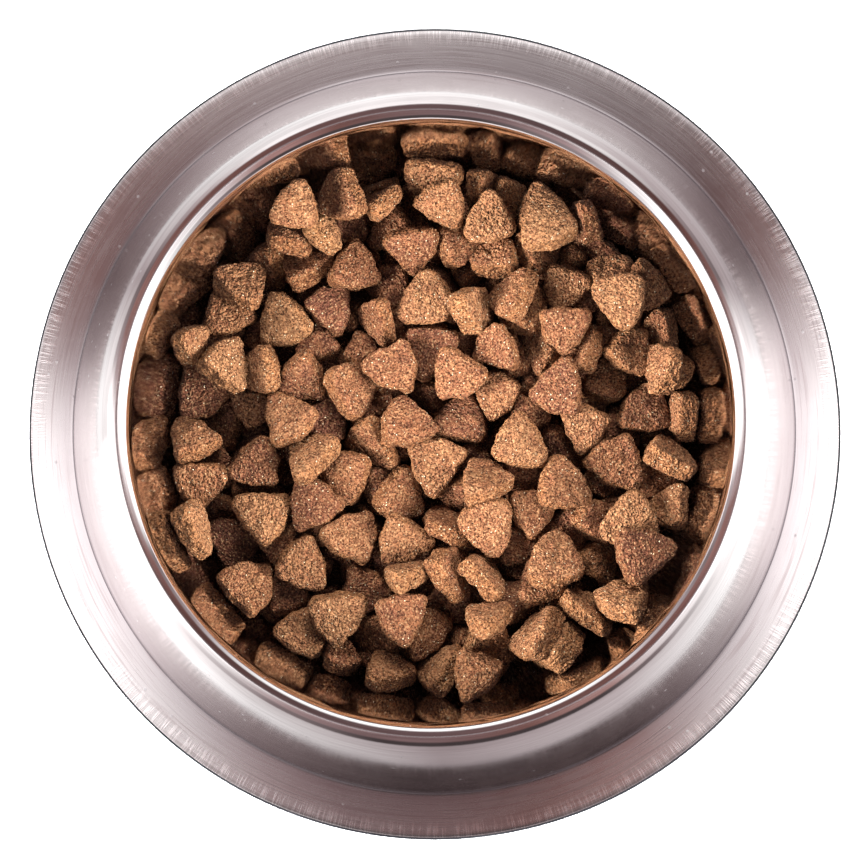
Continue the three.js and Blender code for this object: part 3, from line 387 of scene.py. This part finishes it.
def kibble(row, k):
    """Points in metres, faces, and per-point tone with painted depth shade, the painted side highlight band and
    texture place.
    """
    x, y, z, qx, qy, qz, qw, R, T, tone_and_depth_shade, fine = row
    rng = np.random.default_rng(500 + k)
    R, T = R * 1.0, T * 1.0
    d, faces = SPHERE[fine]
    h = T / 2
    d = d * np.array([1, 1, 1.2 * h / R])
    d = d / np.linalg.norm(d, axis=1)[:, None]
    phi = np.arctan2(d[:, 1], d[:, 0])
    warp = phi + 0.07 * np.sin(phi + rng.random() * 6.28) + 0.04 * np.sin(2 * phi + rng.random() * 6.28)
    table = OUTLINES[int(rng.integers(len(OUTLINES)))]
    ref = np.interp((warp % (2 * math.pi)) / (2 * math.pi) * 720, np.arange(721), np.append(table, table[0]))
    ref = ref * (1 + 0.05 * np.sin(phi * 2 + rng.random() * 6.28) + 0.012 * np.sin(phi * 4 + rng.random() * 6.28))
    rho0 = R * ref * (1 + 0.02 * rng.standard_normal())
    st = np.hypot(d[:, 0], d[:, 1])
    ct = np.abs(d[:, 2])
    p = 3.8 + 2.8 * rng.random()
    t = ((st / rho0) ** p + (ct / h) ** p) ** (-1 / p)
    P = d * t[:, None]
    rho = st * t
    zf = ct * t / h
    # outward normal of that form
    gr = (rho / rho0) ** (p - 1) / rho0
    gz = zf ** (p - 1) / h
    N = np.stack([gr * np.cos(phi), gr * np.sin(phi), gz * np.sign(d[:, 2])], 1)
    N /= np.linalg.norm(N, axis=1)[:, None] + 1e-9
    o = rng.random(3) * 40
    # painted depth shade: pieces lying lower, and nearer the middle, get a darker colour that stands in for the
    # shadow between the pieces above
    tone_and_depth_shade = tone_and_depth_shade - 0.34 * min(1.0, max(0.0, (32.0 - (x * x + y * y) / 800 - z) / 8.0))
    # the two faces are a little domed, bent or dished, and one end is thinner than the other
    face = np.clip((zf - 0.6) / 0.4, 0, 1)
    dome = rng.uniform(-0.05, 0.09)
    P[:, 2] *= 1 + dome * (1 - (rho / rho0) ** 2) * face
    P[:, 2] *= 1 + rng.uniform(-0.30, 0.30) * P[:, 0] / R + rng.uniform(-0.22, 0.22) * P[:, 1] / R
    P[:, 2] += rng.uniform(-0.035, 0.035) * (P[:, 0] ** 2 - 0.3 * R * R) / R
    P[:, 0] += rng.uniform(-0.12, 0.12) * P[:, 2]
    P[:, 1] += rng.uniform(-0.12, 0.12) * P[:, 2]
    lump = 0.32 * noise(P, 5.5, o) + 0.42 * noise(P, 2.6, o + 7) + 0.32 * noise(P, 1.2, o + 13)
    grain = 0.20 * noise(P, 0.5, o + 21) if fine else 0
    # a worn chip or a crease on some of them
    chip = 0
    if rng.random() < 0.6:
        c = rng.normal(size=3); c /= np.linalg.norm(c)
        c = c * np.array([R * 0.85, R * 0.85, h])
        chip = -0.6 * np.exp(-((P - c) ** 2).sum(1) / (1.5 ** 2))
    if rng.random() < 0.22:
        a = rng.random() * math.pi
        s = P[:, 0] * math.cos(a) + P[:, 1] * math.sin(a) + 0.8 * noise(P, 5, o + 3) - rng.uniform(-2, 2)
        chip = chip - 0.42 * np.exp(-(s / 0.42) ** 2) * (P[:, 2] > 0)
    P = P + N * (lump + grain + chip - 0.3)[:, None] * 0.8
    # painted highlight: the side band of each piece, away from its two faces, is marked here and gets a lighter, more
    # orange colour in the material, as if lit from the side
    lit_side_band = 1 - np.clip((zf - 0.66) / 0.24, 0, 1)
    lit_side_band = np.clip(lit_side_band + 0.35 * noise(P, 2.6, o + 31), 0, 1)
    M = quat_matrix(qx, qy, qz, qw)
    W = P @ M.T + np.array([x, y, z])
    return W * MM, faces, np.full(len(P), tone_and_depth_shade), lit_side_band, P + o * 3


def mesh_object(name, verts, faces, attrs=(), smooth=True):
    me = bpy.data.meshes.new(name)
    me.vertices.add(len(verts))
    me.vertices.foreach_set("co", np.ascontiguousarray(verts, dtype=np.float32).ravel())
    faces = np.asarray(faces)
    n, s = faces.shape
    me.loops.add(n * s)
    me.loops.foreach_set("vertex_index", faces.astype(np.int32).ravel())
    me.polygons.add(n)
    me.polygons.foreach_set("loop_start", np.arange(0, n * s, s, dtype=np.int32))
    me.update(calc_edges=True)
    me.validate()
    if smooth:
        me.polygons.foreach_set("use_smooth", np.ones(n, bool))
    for key, kind, val in attrs:
        at = me.attributes.new(key, kind, "POINT")
        at.data.foreach_set("vector" if kind == "FLOAT_VECTOR" else "value", np.ascontiguousarray(val, dtype=np.float32).ravel())
    me.update()
    ob = bpy.data.objects.new(name, me)
    scene.collection.objects.link(ob)
    return ob


# ------------------------------------------------------------------ node helpers
class Nodes:
    def __init__(self, name):
        self.mat = bpy.data.materials.new(name)
        self.mat.use_nodes = True
        self.t = self.mat.node_tree
        self.t.nodes.clear()
        self.out = self.t.nodes.new("ShaderNodeOutputMaterial")
        self.b = self.t.nodes.new("ShaderNodeBsdfPrincipled")
        self.t.links.new(self.b.outputs[0], self.out.inputs[0])

    def put(self, kind, **kw):
        n = self.t.nodes.new(kind)
        for k, v in kw.items():
            setattr(n, k, v)
        return n

    def link(self, a, b):
        self.t.links.new(a, b)

    def math(self, op, a, b=0.0, c=0.0, clamp=False):
        n = self.put("ShaderNodeMath", operation=op, use_clamp=clamp)
        for i, v in enumerate((a, b, c)):
            if hasattr(v, "is_linked"):
                self.link(v, n.inputs[i])
            else:
                n.inputs[i].default_value = v
        return n.outputs[0]

    def noise(self, vec, scale, detail=3, rough=0.6, out=0):
        n = self.put("ShaderNodeTexNoise")
        self.link(vec, n.inputs["Vector"])
        n.inputs["Scale"].default_value = scale
        n.inputs["Detail"].default_value = detail
        n.inputs["Roughness"].default_value = rough
        return n.outputs[out]

    def ramp(self, fac, stops, mode="LINEAR"):
        n = self.put("ShaderNodeValToRGB")
        n.color_ramp.interpolation = mode
        e = n.color_ramp.elements
        while len(e) > 1:
            e.remove(e[0])
        e[0].position, e[0].color = stops[0][0], tuple(stops[0][1]) + (1,)
        for pos, col in stops[1:]:
            x = e.new(pos)
            x.color = tuple(col) + (1,)
        self.link(fac, n.inputs[0])
        return n.outputs[0]

    def mix(self, fac, a, b, blend="MIX"):
        n = self.put("ShaderNodeMix", data_type="RGBA", blend_type=blend)
        for sock, v in ((n.inputs[0], fac), (n.inputs[6], a), (n.inputs[7], b)):
            if hasattr(v, "is_linked"):
                self.link(v, sock)
            else:
                sock.default_value = v if isinstance(v, float) else tuple(v) + (1,)
        return n.outputs[2]

    def range(self, v, a, b, c=0.0, d=1.0):
        n = self.put("ShaderNodeMapRange", clamp=True)
        self.link(v, n.inputs[0])
        for i, x in enumerate((a, b, c, d)):
            n.inputs[i + 1].default_value = x
        return n.outputs[0]

    def attr(self, name, vector=False):
        n = self.put("ShaderNodeAttribute", attribute_name=name, attribute_type="GEOMETRY")
        return n.outputs["Vector" if vector else "Fac"]

    def bump(self, height, strength, dist, normal=None):
        n = self.put("ShaderNodeBump")
        n.inputs["Strength"].default_value = strength
        n.inputs["Distance"].default_value = dist
        self.link(height, n.inputs["Height"])
        if normal is not None:
            self.link(normal, n.inputs["Normal"])
        return n.outputs[0]


def kibble_material():
    m = Nodes("baked_kibble")
    place = m.attr("place", True)       # millimetres inside each kibble
    tone_and_depth_shade = m.attr("tone_and_depth_shade")
    lit_side_band = m.attr("lit_side_band")
    soft = m.noise(place, 0.30, 3, 0.6)
    mid = m.noise(place, 0.85, 4, 0.7)
    fine = m.noise(place, 2.0, 1, 0.5)
    relief = m.noise(place, 1.35, 1, 0.5)
    base = m.ramp(m.math("ADD", m.math("ADD", m.math("MULTIPLY", tone_and_depth_shade, 0.56), 0.10), m.math("MULTIPLY", soft, 0.60)),
                  [(0.22, (0.066, 0.025, 0.018)), (0.42, (0.136, 0.050, 0.029)), (0.62, (0.216, 0.084, 0.040)), (0.88, (0.292, 0.136, 0.062))])
    # painted highlight: a lighter, more orange colour for the side band of each piece, standing in for side light
    lit_side_colour = m.ramp(m.math("ADD", m.math("MULTIPLY", tone_and_depth_shade, 0.5), m.math("MULTIPLY", mid, 0.45)),
                 [(0.20, (0.125, 0.045, 0.020)), (0.50, (0.240, 0.098, 0.039)), (0.85, (0.335, 0.156, 0.065))])
    col = m.mix(m.math("MULTIPLY", lit_side_band, 0.80), base, lit_side_colour)
    col = m.mix(m.range(mid, 0.42, 0.58, 0.50, 0.0), col, (0.045, 0.016, 0.010))
    col = m.mix(m.range(fine, 0.56, 0.72, 0.0, 0.62), col, (0.43, 0.26, 0.13))
    col = m.mix(m.range(fine, 0.455, 0.34, 0.0, 0.82), col, (0.020, 0.007, 0.004))
    # pale grains and flecks
    v = m.put("ShaderNodeTexVoronoi", feature="F1")
    m.link(place, v.inputs["Vector"])
    v.inputs["Scale"].default_value = 1.7
    pick = m.put("ShaderNodeSeparateColor")
    m.link(v.outputs["Color"], pick.inputs[0])
    near = m.range(v.outputs["Distance"], 0.34, 0.20, 0.0, 1.0)
    fleck = m.math("MULTIPLY", near, m.range(pick.outputs[0], 0.93, 0.95, 0.0, 1.0))
    col = m.mix(m.math("MULTIPLY", fleck, 0.9), col, (1.0, 0.84, 0.56))
    # painted shade: pits are coloured near black as well as sunk in the bump
    shaded_pit = m.math("MULTIPLY", near, m.range(pick.outputs[1], 0.86, 0.89, 0.0, 1.0))
    col = m.mix(m.math("MULTIPLY", shaded_pit, 0.9), col, (0.014, 0.006, 0.004))
    m.link(col, m.b.inputs["Base Color"])
    m.link(m.range(fine, 0.3, 0.7, 0.92, 0.62), m.b.inputs["Roughness"])
    m.b.inputs["Specular IOR Level"].default_value = 0.38
    height = m.math("ADD", m.math("MULTIPLY", relief, 1.0), m.math("MULTIPLY", m.noise(place, 0.6, 1, 0.4), 0.9))
    height = m.math("ADD", height, m.math("MULTIPLY", fine, 0.45))
    height = m.math("SUBTRACT", height, m.math("MULTIPLY", shaded_pit, 0.8))
    height = m.math("ADD", height, m.math("MULTIPLY", fleck, 0.35))
    n1 = m.bump(height, 1.0, 0.00155)
    m.link(n1, m.b.inputs["Normal"])
    return m.mat


def steel_material():
    m = Nodes("pressed_steel")
    tc = m.put("ShaderNodeTexCoord")
    xyz = m.put("ShaderNodeSeparateXYZ")
    m.link(tc.outputs["Object"], xyz.inputs[0])
    satin = m.attr("satin")
    radius = m.math("SQRT", m.math("ADD", m.math("MULTIPLY", xyz.outputs[0], xyz.outputs[0]), m.math("MULTIPLY", xyz.outputs[1], xyz.outputs[1])))
    angle = m.math("ARCTAN2", xyz.outputs[1], xyz.outputs[0])

    def rings(rs, zs, angs, off=0.0):
        c = m.put("ShaderNodeCombineXYZ")
        m.link(m.math("ADD", m.math("MULTIPLY", radius, rs), m.math("MULTIPLY", xyz.outputs[2], zs)), c.inputs[0])
        m.link(m.math("MULTIPLY", m.math("COSINE", angle), angs), c.inputs[1])
        m.link(m.math("MULTIPLY", m.math("SINE", angle), angs), c.inputs[2])
        return c.outputs[0]

    brush = m.noise(rings(2300, 2300, 3.0), 1.0, 3, 0.6)       # fine circular brushing
    bands = m.noise(rings(420, 420, 0.8), 1.0, 3, 0.6)          # broader turned bands
    scuff = m.noise(tc.outputs["Object"], 60, 4, 0.7)
    spots = m.put("ShaderNodeTexVoronoi", feature="F1")
    m.link(tc.outputs["Object"], spots.inputs["Vector"])
    spots.inputs["Scale"].default_value = 420
    pick = m.put("ShaderNodeSeparateColor")
    m.link(spots.outputs["Color"], pick.inputs[0])
    speck = m.math("MULTIPLY", m.range(spots.outputs["Distance"], 0.22, 0.10), m.range(pick.outputs[0], 0.955, 0.965))
    # short radial ticks near the outer edge of the foot
    tk = m.put("ShaderNodeCombineXYZ")
    m.link(m.math("MULTIPLY", angle, 260), tk.inputs[0])
    m.link(m.math("MULTIPLY", radius, 120), tk.inputs[1])
    ticks = m.noise(tk.outputs[0], 1.0, 2, 0.6)
    ticks = m.math("MULTIPLY", m.range(ticks, 0.50, 0.62), m.range(radius, 0.1025, 0.1052))
    col = m.mix(m.range(brush, 0.3, 0.7, 0.0, 1.0), (0.60, 0.545, 0.545), (0.80, 0.745, 0.745))
    col = m.mix(m.math("MULTIPLY", m.range(bands, 0.35, 0.65), 0.35), col, (0.72, 0.67, 0.67))
    col = m.mix(m.math("MULTIPLY", speck, 0.6), col, (0.9, 0.9, 0.92))
    inner = m.range(radius, 0.0765, 0.0755, 0.0, 1.0)
    # painted shade: the satin foot is coloured darker, most next to the crease with the skirt
    foot_shade = m.math("MULTIPLY", satin, m.range(radius, 0.0948, 0.1060, 1.0, 0.0))
    col = m.mix(m.math("MULTIPLY", foot_shade, 0.75), col, (0.40, 0.34, 0.355))
    col = m.mix(m.math("MULTIPLY", m.math("MULTIPLY", satin, m.range(brush, 0.52, 0.66)), 0.60), col, (0.36, 0.285, 0.29))
    col = m.mix(m.math("MULTIPLY", ticks, 0.75), col, (0.97, 0.90, 0.90))
    # painted shade: a dark line painted along the crease between skirt and foot
    col = m.mix(m.range(m.math("ABSOLUTE", m.math("SUBTRACT", radius, 0.0951)), 0.00022, 0.00034, 0.8, 0.0), col, (0.16, 0.13, 0.15))
    col = m.mix(m.math("MULTIPLY", inner, 0.75), col, (0.93, 0.90, 0.90))
    m.link(col, m.b.inputs["Base Color"])
    m.b.inputs["Metallic"].default_value = 1.0
    rough = m.math("ADD", m.math("SUBTRACT", m.range(scuff, 0.35, 0.7, 0.085, 0.15), m.math("MULTIPLY", inner, 0.045)), m.math("MULTIPLY", satin, m.range(brush, 0.3, 0.7, 0.10, 0.20)))
    rough = m.math("ADD", rough, m.math("MULTIPLY", speck, 0.3))
    m.link(rough, m.b.inputs["Roughness"])
    h = m.math("ADD", m.math("MULTIPLY", brush, m.math("ADD", 0.10, m.math("MULTIPLY", satin, 0.85))), m.math("MULTIPLY", bands, 0.25))
    h = m.math("ADD", h, m.math("MULTIPLY", ticks, 0.8))
    h = m.math("ADD", h, m.math("MULTIPLY", speck, 0.8))
    m.link(m.bump(h, 0.35, 0.00006), m.b.inputs["Normal"])
    return m.mat


def rubber_material():
    m = Nodes("black_rubber")
    tc = m.put("ShaderNodeTexCoord")
    a = m.noise(tc.outputs["Object"], 900, 3, 0.6)
    b = m.noise(tc.outputs["Object"], 70, 3, 0.6)
    m.link(m.mix(m.range(b, 0.3, 0.7), (0.010, 0.0105, 0.013), (0.030, 0.030, 0.034)), m.b.inputs["Base Color"])
    m.link(m.range(a, 0.3, 0.7, 0.62, 0.82), m.b.inputs["Roughness"])
    m.link(m.bump(a, 0.4, 0.00008), m.b.inputs["Normal"])
    return m.mat


# ------------------------------------------------------------------ turned pieces
def chaikin(line, times):
    for _ in range(times):
        out = [line[0]]
        for a, b in zip(line[:-1], line[1:]):
            out.append((a[0] * 0.75 + b[0] * 0.25, a[1] * 0.75 + b[1] * 0.25))
            out.append((a[0] * 0.25 + b[0] * 0.75, a[1] * 0.25 + b[1] * 0.75))
        out.append(line[-1])
        line = out
    return line


def side(line, d):
    p = np.array(line, float)
    t = np.gradient(p, axis=0)
    t /= np.linalg.norm(t, axis=1)[:, None]
    n = np.stack([-t[:, 1], t[:, 0]], 1)
    q = p + n * d
    return q


def turned(name, profile, closed, seg=192, extra=None):
    """profile in mm, from axis to axis or closed on itself."""
    p = np.array(profile, float)
    n = len(p)
    ang = np.arange(seg) * 2 * math.pi / seg
    verts, faces = [], []
    on_axis = p[:, 0] < 1e-6
    index = np.zeros((seg, n), int)
    val = []
    for j in range(n):
        if on_axis[j]:
            index[:, j] = len(verts)
            verts.append((0, 0, p[j, 1])); val.append(extra[j] if extra is not None else 0)
        else:
            for i in range(seg):
                index[i, j] = len(verts)
                verts.append((p[j, 0] * math.cos(ang[i]), p[j, 0] * math.sin(ang[i]), p[j, 1]))
                val.append(extra[j] if extra is not None else 0)
    m = n if closed else n - 1
    tris = []
    for j in range(m):
        k = (j + 1) % n
        for i in range(seg):
            a, b, c, d = index[i, j], index[(i + 1) % seg, j], index[(i + 1) % seg, k], index[i, k]
            if a == b:
                tris.append((a, c, d))
            elif c == d:
                tris.append((a, b, c))
            else:
                faces.append((a, b, c, d))
    me = bpy.data.meshes.new(name)
    me.from_pydata([tuple(v) for v in np.array(verts) * MM], [], [tuple(map(int, f)) for f in faces + tris])
    me.validate()
    me.polygons.foreach_set("use_smooth", np.ones(len(me.polygons), bool))
    at = me.attributes.new("satin", "FLOAT", "POINT")
    at.data.foreach_set("value", np.array(val, np.float32))
    ob = bpy.data.objects.new(name, me)
    scene.collection.objects.link(ob)
    bm = bmesh.new(); bm.from_mesh(me)
    bmesh.ops.recalc_face_normals(bm, faces=bm.faces)
    if bm.calc_volume(signed=True) < 0:
        bmesh.ops.reverse_faces(bm, faces=bm.faces)
    bm.to_mesh(me); bm.free()
    return ob


# middle line of the pressed sheet: centre, inside wall, rolled rim, skirt, foot
LINE = [
    (0, 4.6), (30, 4.6), (50, 4.7), (56.6, 5.9), (61.2, 9.0), (64.2, 13.5), (67.0, 19.8),
    (69.4, 31.0), (72.05, 43.5), (73.9, 52.4), (74.6, 55.6), (75.7, 57.3), (77.3, 58.0),
    (78.95, 57.3), (80.5, 55.6), (81.7, 52.8), (84.2, 45.0), (88.3, 31.5), (92.2, 18.5),
    (94.45, 10.4), (94.75, 9.35), (94.95, 8.78), (95.3, 8.45), (95.9, 8.12), (100.2, 6.25), (104.0, 4.62), (106.6, 3.5), (107.05, 3.05),
]
mid = chaikin(LINE, 2)
up, down = side(mid, 0.4), side(mid, -0.4)
up[0, 0] = down[0, 0] = 0
tip = [(mid[-1][0] + 0.18, mid[-1][1] - 0.22)]
prof = [tuple(v) for v in down] + tip + [tuple(v) for v in up[::-1]]
flag_down = [0.8] * len(down)
flag_up = [float(np.clip((v[0] - 94.2) / 0.5, 0, 1)) for v in up[::-1]]
steel = steel_material()
shell = turned("steel_bowl", prof, False, 192, flag_down + [1.0] + flag_up)
shell.data.materials.append(steel)
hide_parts("bowl_shell")

ring_profile = chaikin([
    (97.5, 0.0), (99.5, 0.0), (106.0, 0.0), (107.6, 0.0), (108.0, 0.5), (108.0, 1.6), (107.98, 2.7), (107.7, 3.25),
    (107.42, 3.1), (107.3, 2.6), (106.9, 2.15), (106.2, 2.3), (104.6, 3.05), (101.0, 4.5), (98.6, 5.35), (97.6, 5.4), (97.5, 4.8), (97.5, 1.0), (97.5, 0.0)], 1)[:-1]
rubber = turned("rubber_ring", ring_profile, True, 192)
rubber.data.materials.append(rubber_material())
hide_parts("base_ring")

# ------------------------------------------------------------------ kibble
brim = int(np.argmax(up[:, 1]))
wall_r, wall_z = np.array(up[:brim + 1, 0]), np.array(up[:brim + 1, 1])      # inside surface of the sheet


def inside(points):
    """Keeps points, in metres, just off the inside surface of the bowl."""
    q = np.array(points) / MM
    q[:, 2] = np.maximum(q[:, 2], 5.12)
    r = np.maximum(np.hypot(q[:, 0], q[:, 1]), 1e-6)
    q[:, :2] *= np.minimum(1.0, (np.interp(q[:, 2], wall_z, wall_r) - 0.12) / r)[:, None]
    return q * MM


stuff = kibble_material()
made = [shell, rubber]
for k, row in enumerate(FREE):
    v, f, tone_and_depth_shade, lit_side_band, place = kibble(row, k)
    v = inside(v)
    ob = mesh_object(f"loose_kibble_{k + 1:02d}", v, f, (("tone_and_depth_shade", "FLOAT", tone_and_depth_shade), ("lit_side_band", "FLOAT", lit_side_band), ("place", "FLOAT_VECTOR", place)))
    ob.data.materials.append(stuff)
    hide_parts(f"kibble_{k + 1:02d}")
    made.append(ob)

GROUP = 22
for g in range(0, len(UNDER), GROUP):
    vs, fs, ts, es, ps = [], [], [], [], []
    n = 0
    for k, row in enumerate(UNDER[g:g + GROUP]):
        v, f, tone_and_depth_shade, lit_side_band, place = kibble(row, 100 + g + k)
        vs.append(inside(v)); fs.append(f + n); ts.append(tone_and_depth_shade); es.append(lit_side_band); ps.append(place)
        n += len(v)
    ob = mesh_object(f"packed_kibble_{g // GROUP + 1}", np.concatenate(vs), np.concatenate(fs),
                     (("tone_and_depth_shade", "FLOAT", np.concatenate(ts)), ("lit_side_band", "FLOAT", np.concatenate(es)), ("place", "FLOAT_VECTOR", np.concatenate(ps))))
    ob.data.materials.append(stuff)
    made.append(ob)

# the deep kibble, seen only as dark gaps between the pieces above it
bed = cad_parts["kibble_bed"]
core_me = bpy.data.meshes.new("deep_kibble")
bm = bmesh.new()
bm.from_mesh(bed.data)
bmesh.ops.remove_doubles(bm, verts=bm.verts, dist=1e-6)
bmesh.ops.subdivide_edges(bm, edges=bm.edges, cuts=2, use_grid_fill=True)
bmesh.ops.triangulate(bm, faces=bm.faces)
co = np.array([v.co[:] for v in bm.verts]) / MM
lump = noise(co, 6.0, 3.3) * 1.4 + noise(co, 2.6, 8.1) * 0.7
for v, l, c in zip(bm.verts, lump, co):
    topside = c[2] > 15.5
    if topside:
        v.co.z -= (7.0 - l) * MM
    v.co.x *= 0.985
    v.co.y *= 0.985
for v, c in zip(bm.verts, inside([v.co[:] for v in bm.verts])):
    v.co = c
bm.to_mesh(core_me); bm.free()
core_me.polygons.foreach_set("use_smooth", np.ones(len(core_me.polygons), bool))
n = len(core_me.vertices)
co = np.zeros(n * 3); core_me.vertices.foreach_get("co", co)
# painted shade: the deep kibble gets a dark tone of 0.15, standing in for the shadow in the gaps above it
for key, kind, val in (("tone_and_depth_shade", "FLOAT", np.full(n, 0.15)), ("lit_side_band", "FLOAT", np.zeros(n)), ("place", "FLOAT_VECTOR", co / MM)):
    at = core_me.attributes.new(key, kind, "POINT")
    at.data.foreach_set("vector" if kind == "FLOAT_VECTOR" else "value", np.ascontiguousarray(val, dtype=np.float32))
core = bpy.data.objects.new("deep_kibble", core_me)
scene.collection.objects.link(core)
core.data.materials.append(stuff)
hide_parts("kibble_bed")
made.append(core)

for ob in made:
    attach(ob, "root")

# ------------------------------------------------------------------ floor and light
def floor_material():
    m = Nodes("pale_floor")
    m.b.inputs["Base Color"].default_value = (0.86, 0.86, 0.87, 1)
    m.b.inputs["Roughness"].default_value = 0.9
    m.b.inputs["Emission Color"].default_value = (1, 1, 1, 1)
    m.b.inputs["Emission Strength"].default_value = 0.50
    return m.mat


floor_me = bpy.data.meshes.new("floor")
bm = bmesh.new()
bmesh.ops.create_grid(bm, x_segments=2, y_segments=2, size=3.0)
bm.to_mesh(floor_me); bm.free()
floor = bpy.data.objects.new("floor", floor_me)
floor.location = (0, 0, -0.0002)
scene.collection.objects.link(floor)
floor.data.materials.append(floor_material())
floor.visible_glossy = False


def softbox(name, loc, size, power, aim=(0, 0, 0.03), color=(1, 1, 1)):
    l = bpy.data.lights.new(name, "AREA")
    l.shape = "RECTANGLE"
    l.size, l.size_y = size
    l.energy = power
    l.color = color
    o = bpy.data.objects.new(name, l)
    o.location = loc
    o.rotation_euler = (Vector(aim) - Vector(loc)).to_track_quat("-Z", "Y").to_euler()
    o.visible_camera = False
    scene.collection.objects.link(o)
    return o


for args in (
    ("box_east", (0.88, -0.30, 0.46), (0.45, 0.42), 50),
    ("box_west", (-0.88, -0.30, 0.50), (0.45, 0.42), 64),
    ("box_north", (0.05, 0.80, 0.62), (0.50, 0.30), 16),
    ("box_south", (0.0, -0.75, 0.85), (0.55, 0.30), 4),
):
    lamp = softbox(*args)
    lamp.visible_glossy = False

# the room around the bowl: white panels to the east and west, dim and warm to the north and south, and a dark
# spot straight above
world = bpy.data.worlds.new("studio")
scene.world = world
world.use_nodes = True
t = world.node_tree
t.nodes.clear()


def wmath(op, a, b=0.0, clamp=False):
    n = t.nodes.new("ShaderNodeMath")
    n.operation = op
    n.use_clamp = clamp
    for i, v in enumerate((a, b)):
        if hasattr(v, "is_linked"):
            t.links.new(v, n.inputs[i])
        else:
            n.inputs[i].default_value = v
    return n.outputs[0]


def wramp(fac, stops):
    n = t.nodes.new("ShaderNodeValToRGB")
    e = n.color_ramp.elements
    while len(e) > 1:
        e.remove(e[0])
    e[0].position, e[0].color = stops[0][0], tuple(stops[0][1]) + (1,)
    for pos, col in stops[1:]:
        x = e.new(pos)
        x.color = tuple(col) + (1,)
    t.links.new(fac, n.inputs[0])
    return n.outputs[0]


def wmix(fac, a, b):
    n = t.nodes.new("ShaderNodeMix")
    n.data_type = "RGBA"
    for sock, v in ((n.inputs[0], fac), (n.inputs[6], a), (n.inputs[7], b)):
        if hasattr(v, "is_linked"):
            t.links.new(v, sock)
        else:
            sock.default_value = v if isinstance(v, float) else tuple(v) + (1,)
    return n.outputs[2]


tc = t.nodes.new("ShaderNodeTexCoord")
sep = t.nodes.new("ShaderNodeSeparateXYZ")
t.links.new(tc.outputs["Generated"], sep.inputs[0])
dx, dy, dz = sep.outputs
azimuth = wmath("ADD", wmath("DIVIDE", wmath("ARCTAN2", dy, dx), 2 * math.pi), 0.5)   # 0 west, 0.25 south, 0.5 east, 0.75 north
elevation = wmath("ADD", wmath("MULTIPLY", dz, 0.5), 0.5)


COPPER = (1.0, 0.46, 0.40)


def around(stops, tint):
    """colour by compass direction: (place, brightness) and perhaps an own tint, the dimmer ones tinted"""
    out = []
    for f, v, *own in stops:
        k = min(1.0, v)
        out.append((f, tuple(v * (c + (1 - c) * k * k) for c in (own[0] if own else tint))))
    return wramp(azimuth, out)


# a white panel to each side, both a little to the south; low down the north is bright and the south dark, higher up
# both are dim
horizon = around([(0.0, 2.2), (0.08, 2.2), (0.12, 0.9), (0.16, 0.33), (0.22, 0.075), (0.34, 0.075), (0.38, 0.30), (0.42, 1.0), (0.46, 2.2),
                  (0.54, 2.2), (0.58, 0.22), (0.62, 0.38), (0.67, 1.15), (0.75, 1.45), (0.83, 1.35), (0.87, 0.6), (0.92, 0.22), (0.96, 0.5), (0.985, 2.2)],
                 (1.0, 0.80, 0.82))
middle = around([(0.0, 2.2), (0.07, 2.2), (0.125, 1.15), (0.165, 0.50), (0.21, 0.24), (0.25, 0.25), (0.30, 0.22, COPPER), (0.33, 0.50, COPPER), (0.347, 0.45, COPPER), (0.375, 0.9),
                 (0.42, 1.4), (0.45, 2.2), (0.52, 2.2), (0.55, 0.8), (0.585, 0.30, COPPER), (0.63, 0.13, COPPER), (0.70, 0.14), (0.77, 0.19), (0.84, 0.21, COPPER), (0.885, 0.24, COPPER),
                 (0.925, 0.40, COPPER), (0.945, 0.30, COPPER), (0.955, 0.60), (0.965, 0.42), (0.985, 1.8)],
                (1.0, 0.64, 0.65))
under = around([(0.0, 1.9), (0.08, 1.9), (0.15, 0.95), (0.25, 0.42), (0.35, 0.66), (0.42, 1.2), (0.47, 1.8), (0.53, 1.8), (0.58, 0.5),
                (0.65, 0.68), (0.72, 1.25), (0.78, 1.3), (0.85, 1.0), (0.92, 0.55), (0.97, 1.3)], (1.0, 0.83, 0.86))
room = wmix(wmath("MULTIPLY", wmath("ADD", dz, 0.07), 7.0, True), under, horizon)
room = wmix(wmath("MULTIPLY", wmath("SUBTRACT", dz, 0.38), 5.0, True), room, middle)
room = wmix(wmath("MULTIPLY", wmath("SUBTRACT", dz, 0.990), 150.0, True), room, (0.34, 0.29, 0.30))
bg = t.nodes.new("ShaderNodeBackground")
t.links.new(room, bg.inputs[0])
bg.inputs[1].default_value = 1.0
pale = t.nodes.new("ShaderNodeBackground")
pale.inputs[0].default_value = (0.90, 0.90, 0.91, 1)
dim = t.nodes.new("ShaderNodeBackground")
dim.inputs[0].default_value = (0.085, 0.08, 0.08, 1)
path = t.nodes.new("ShaderNodeLightPath")
by_diffuse = t.nodes.new("ShaderNodeMixShader")
t.links.new(path.outputs["Is Diffuse Ray"], by_diffuse.inputs[0])
t.links.new(bg.outputs[0], by_diffuse.inputs[1])
t.links.new(dim.outputs[0], by_diffuse.inputs[2])
by_camera = t.nodes.new("ShaderNodeMixShader")
t.links.new(path.outputs["Is Camera Ray"], by_camera.inputs[0])
t.links.new(by_diffuse.outputs[0], by_camera.inputs[1])
t.links.new(pale.outputs[0], by_camera.inputs[2])
out = t.nodes.new("ShaderNodeOutputWorld")
t.links.new(by_camera.outputs[0], out.inputs[0])
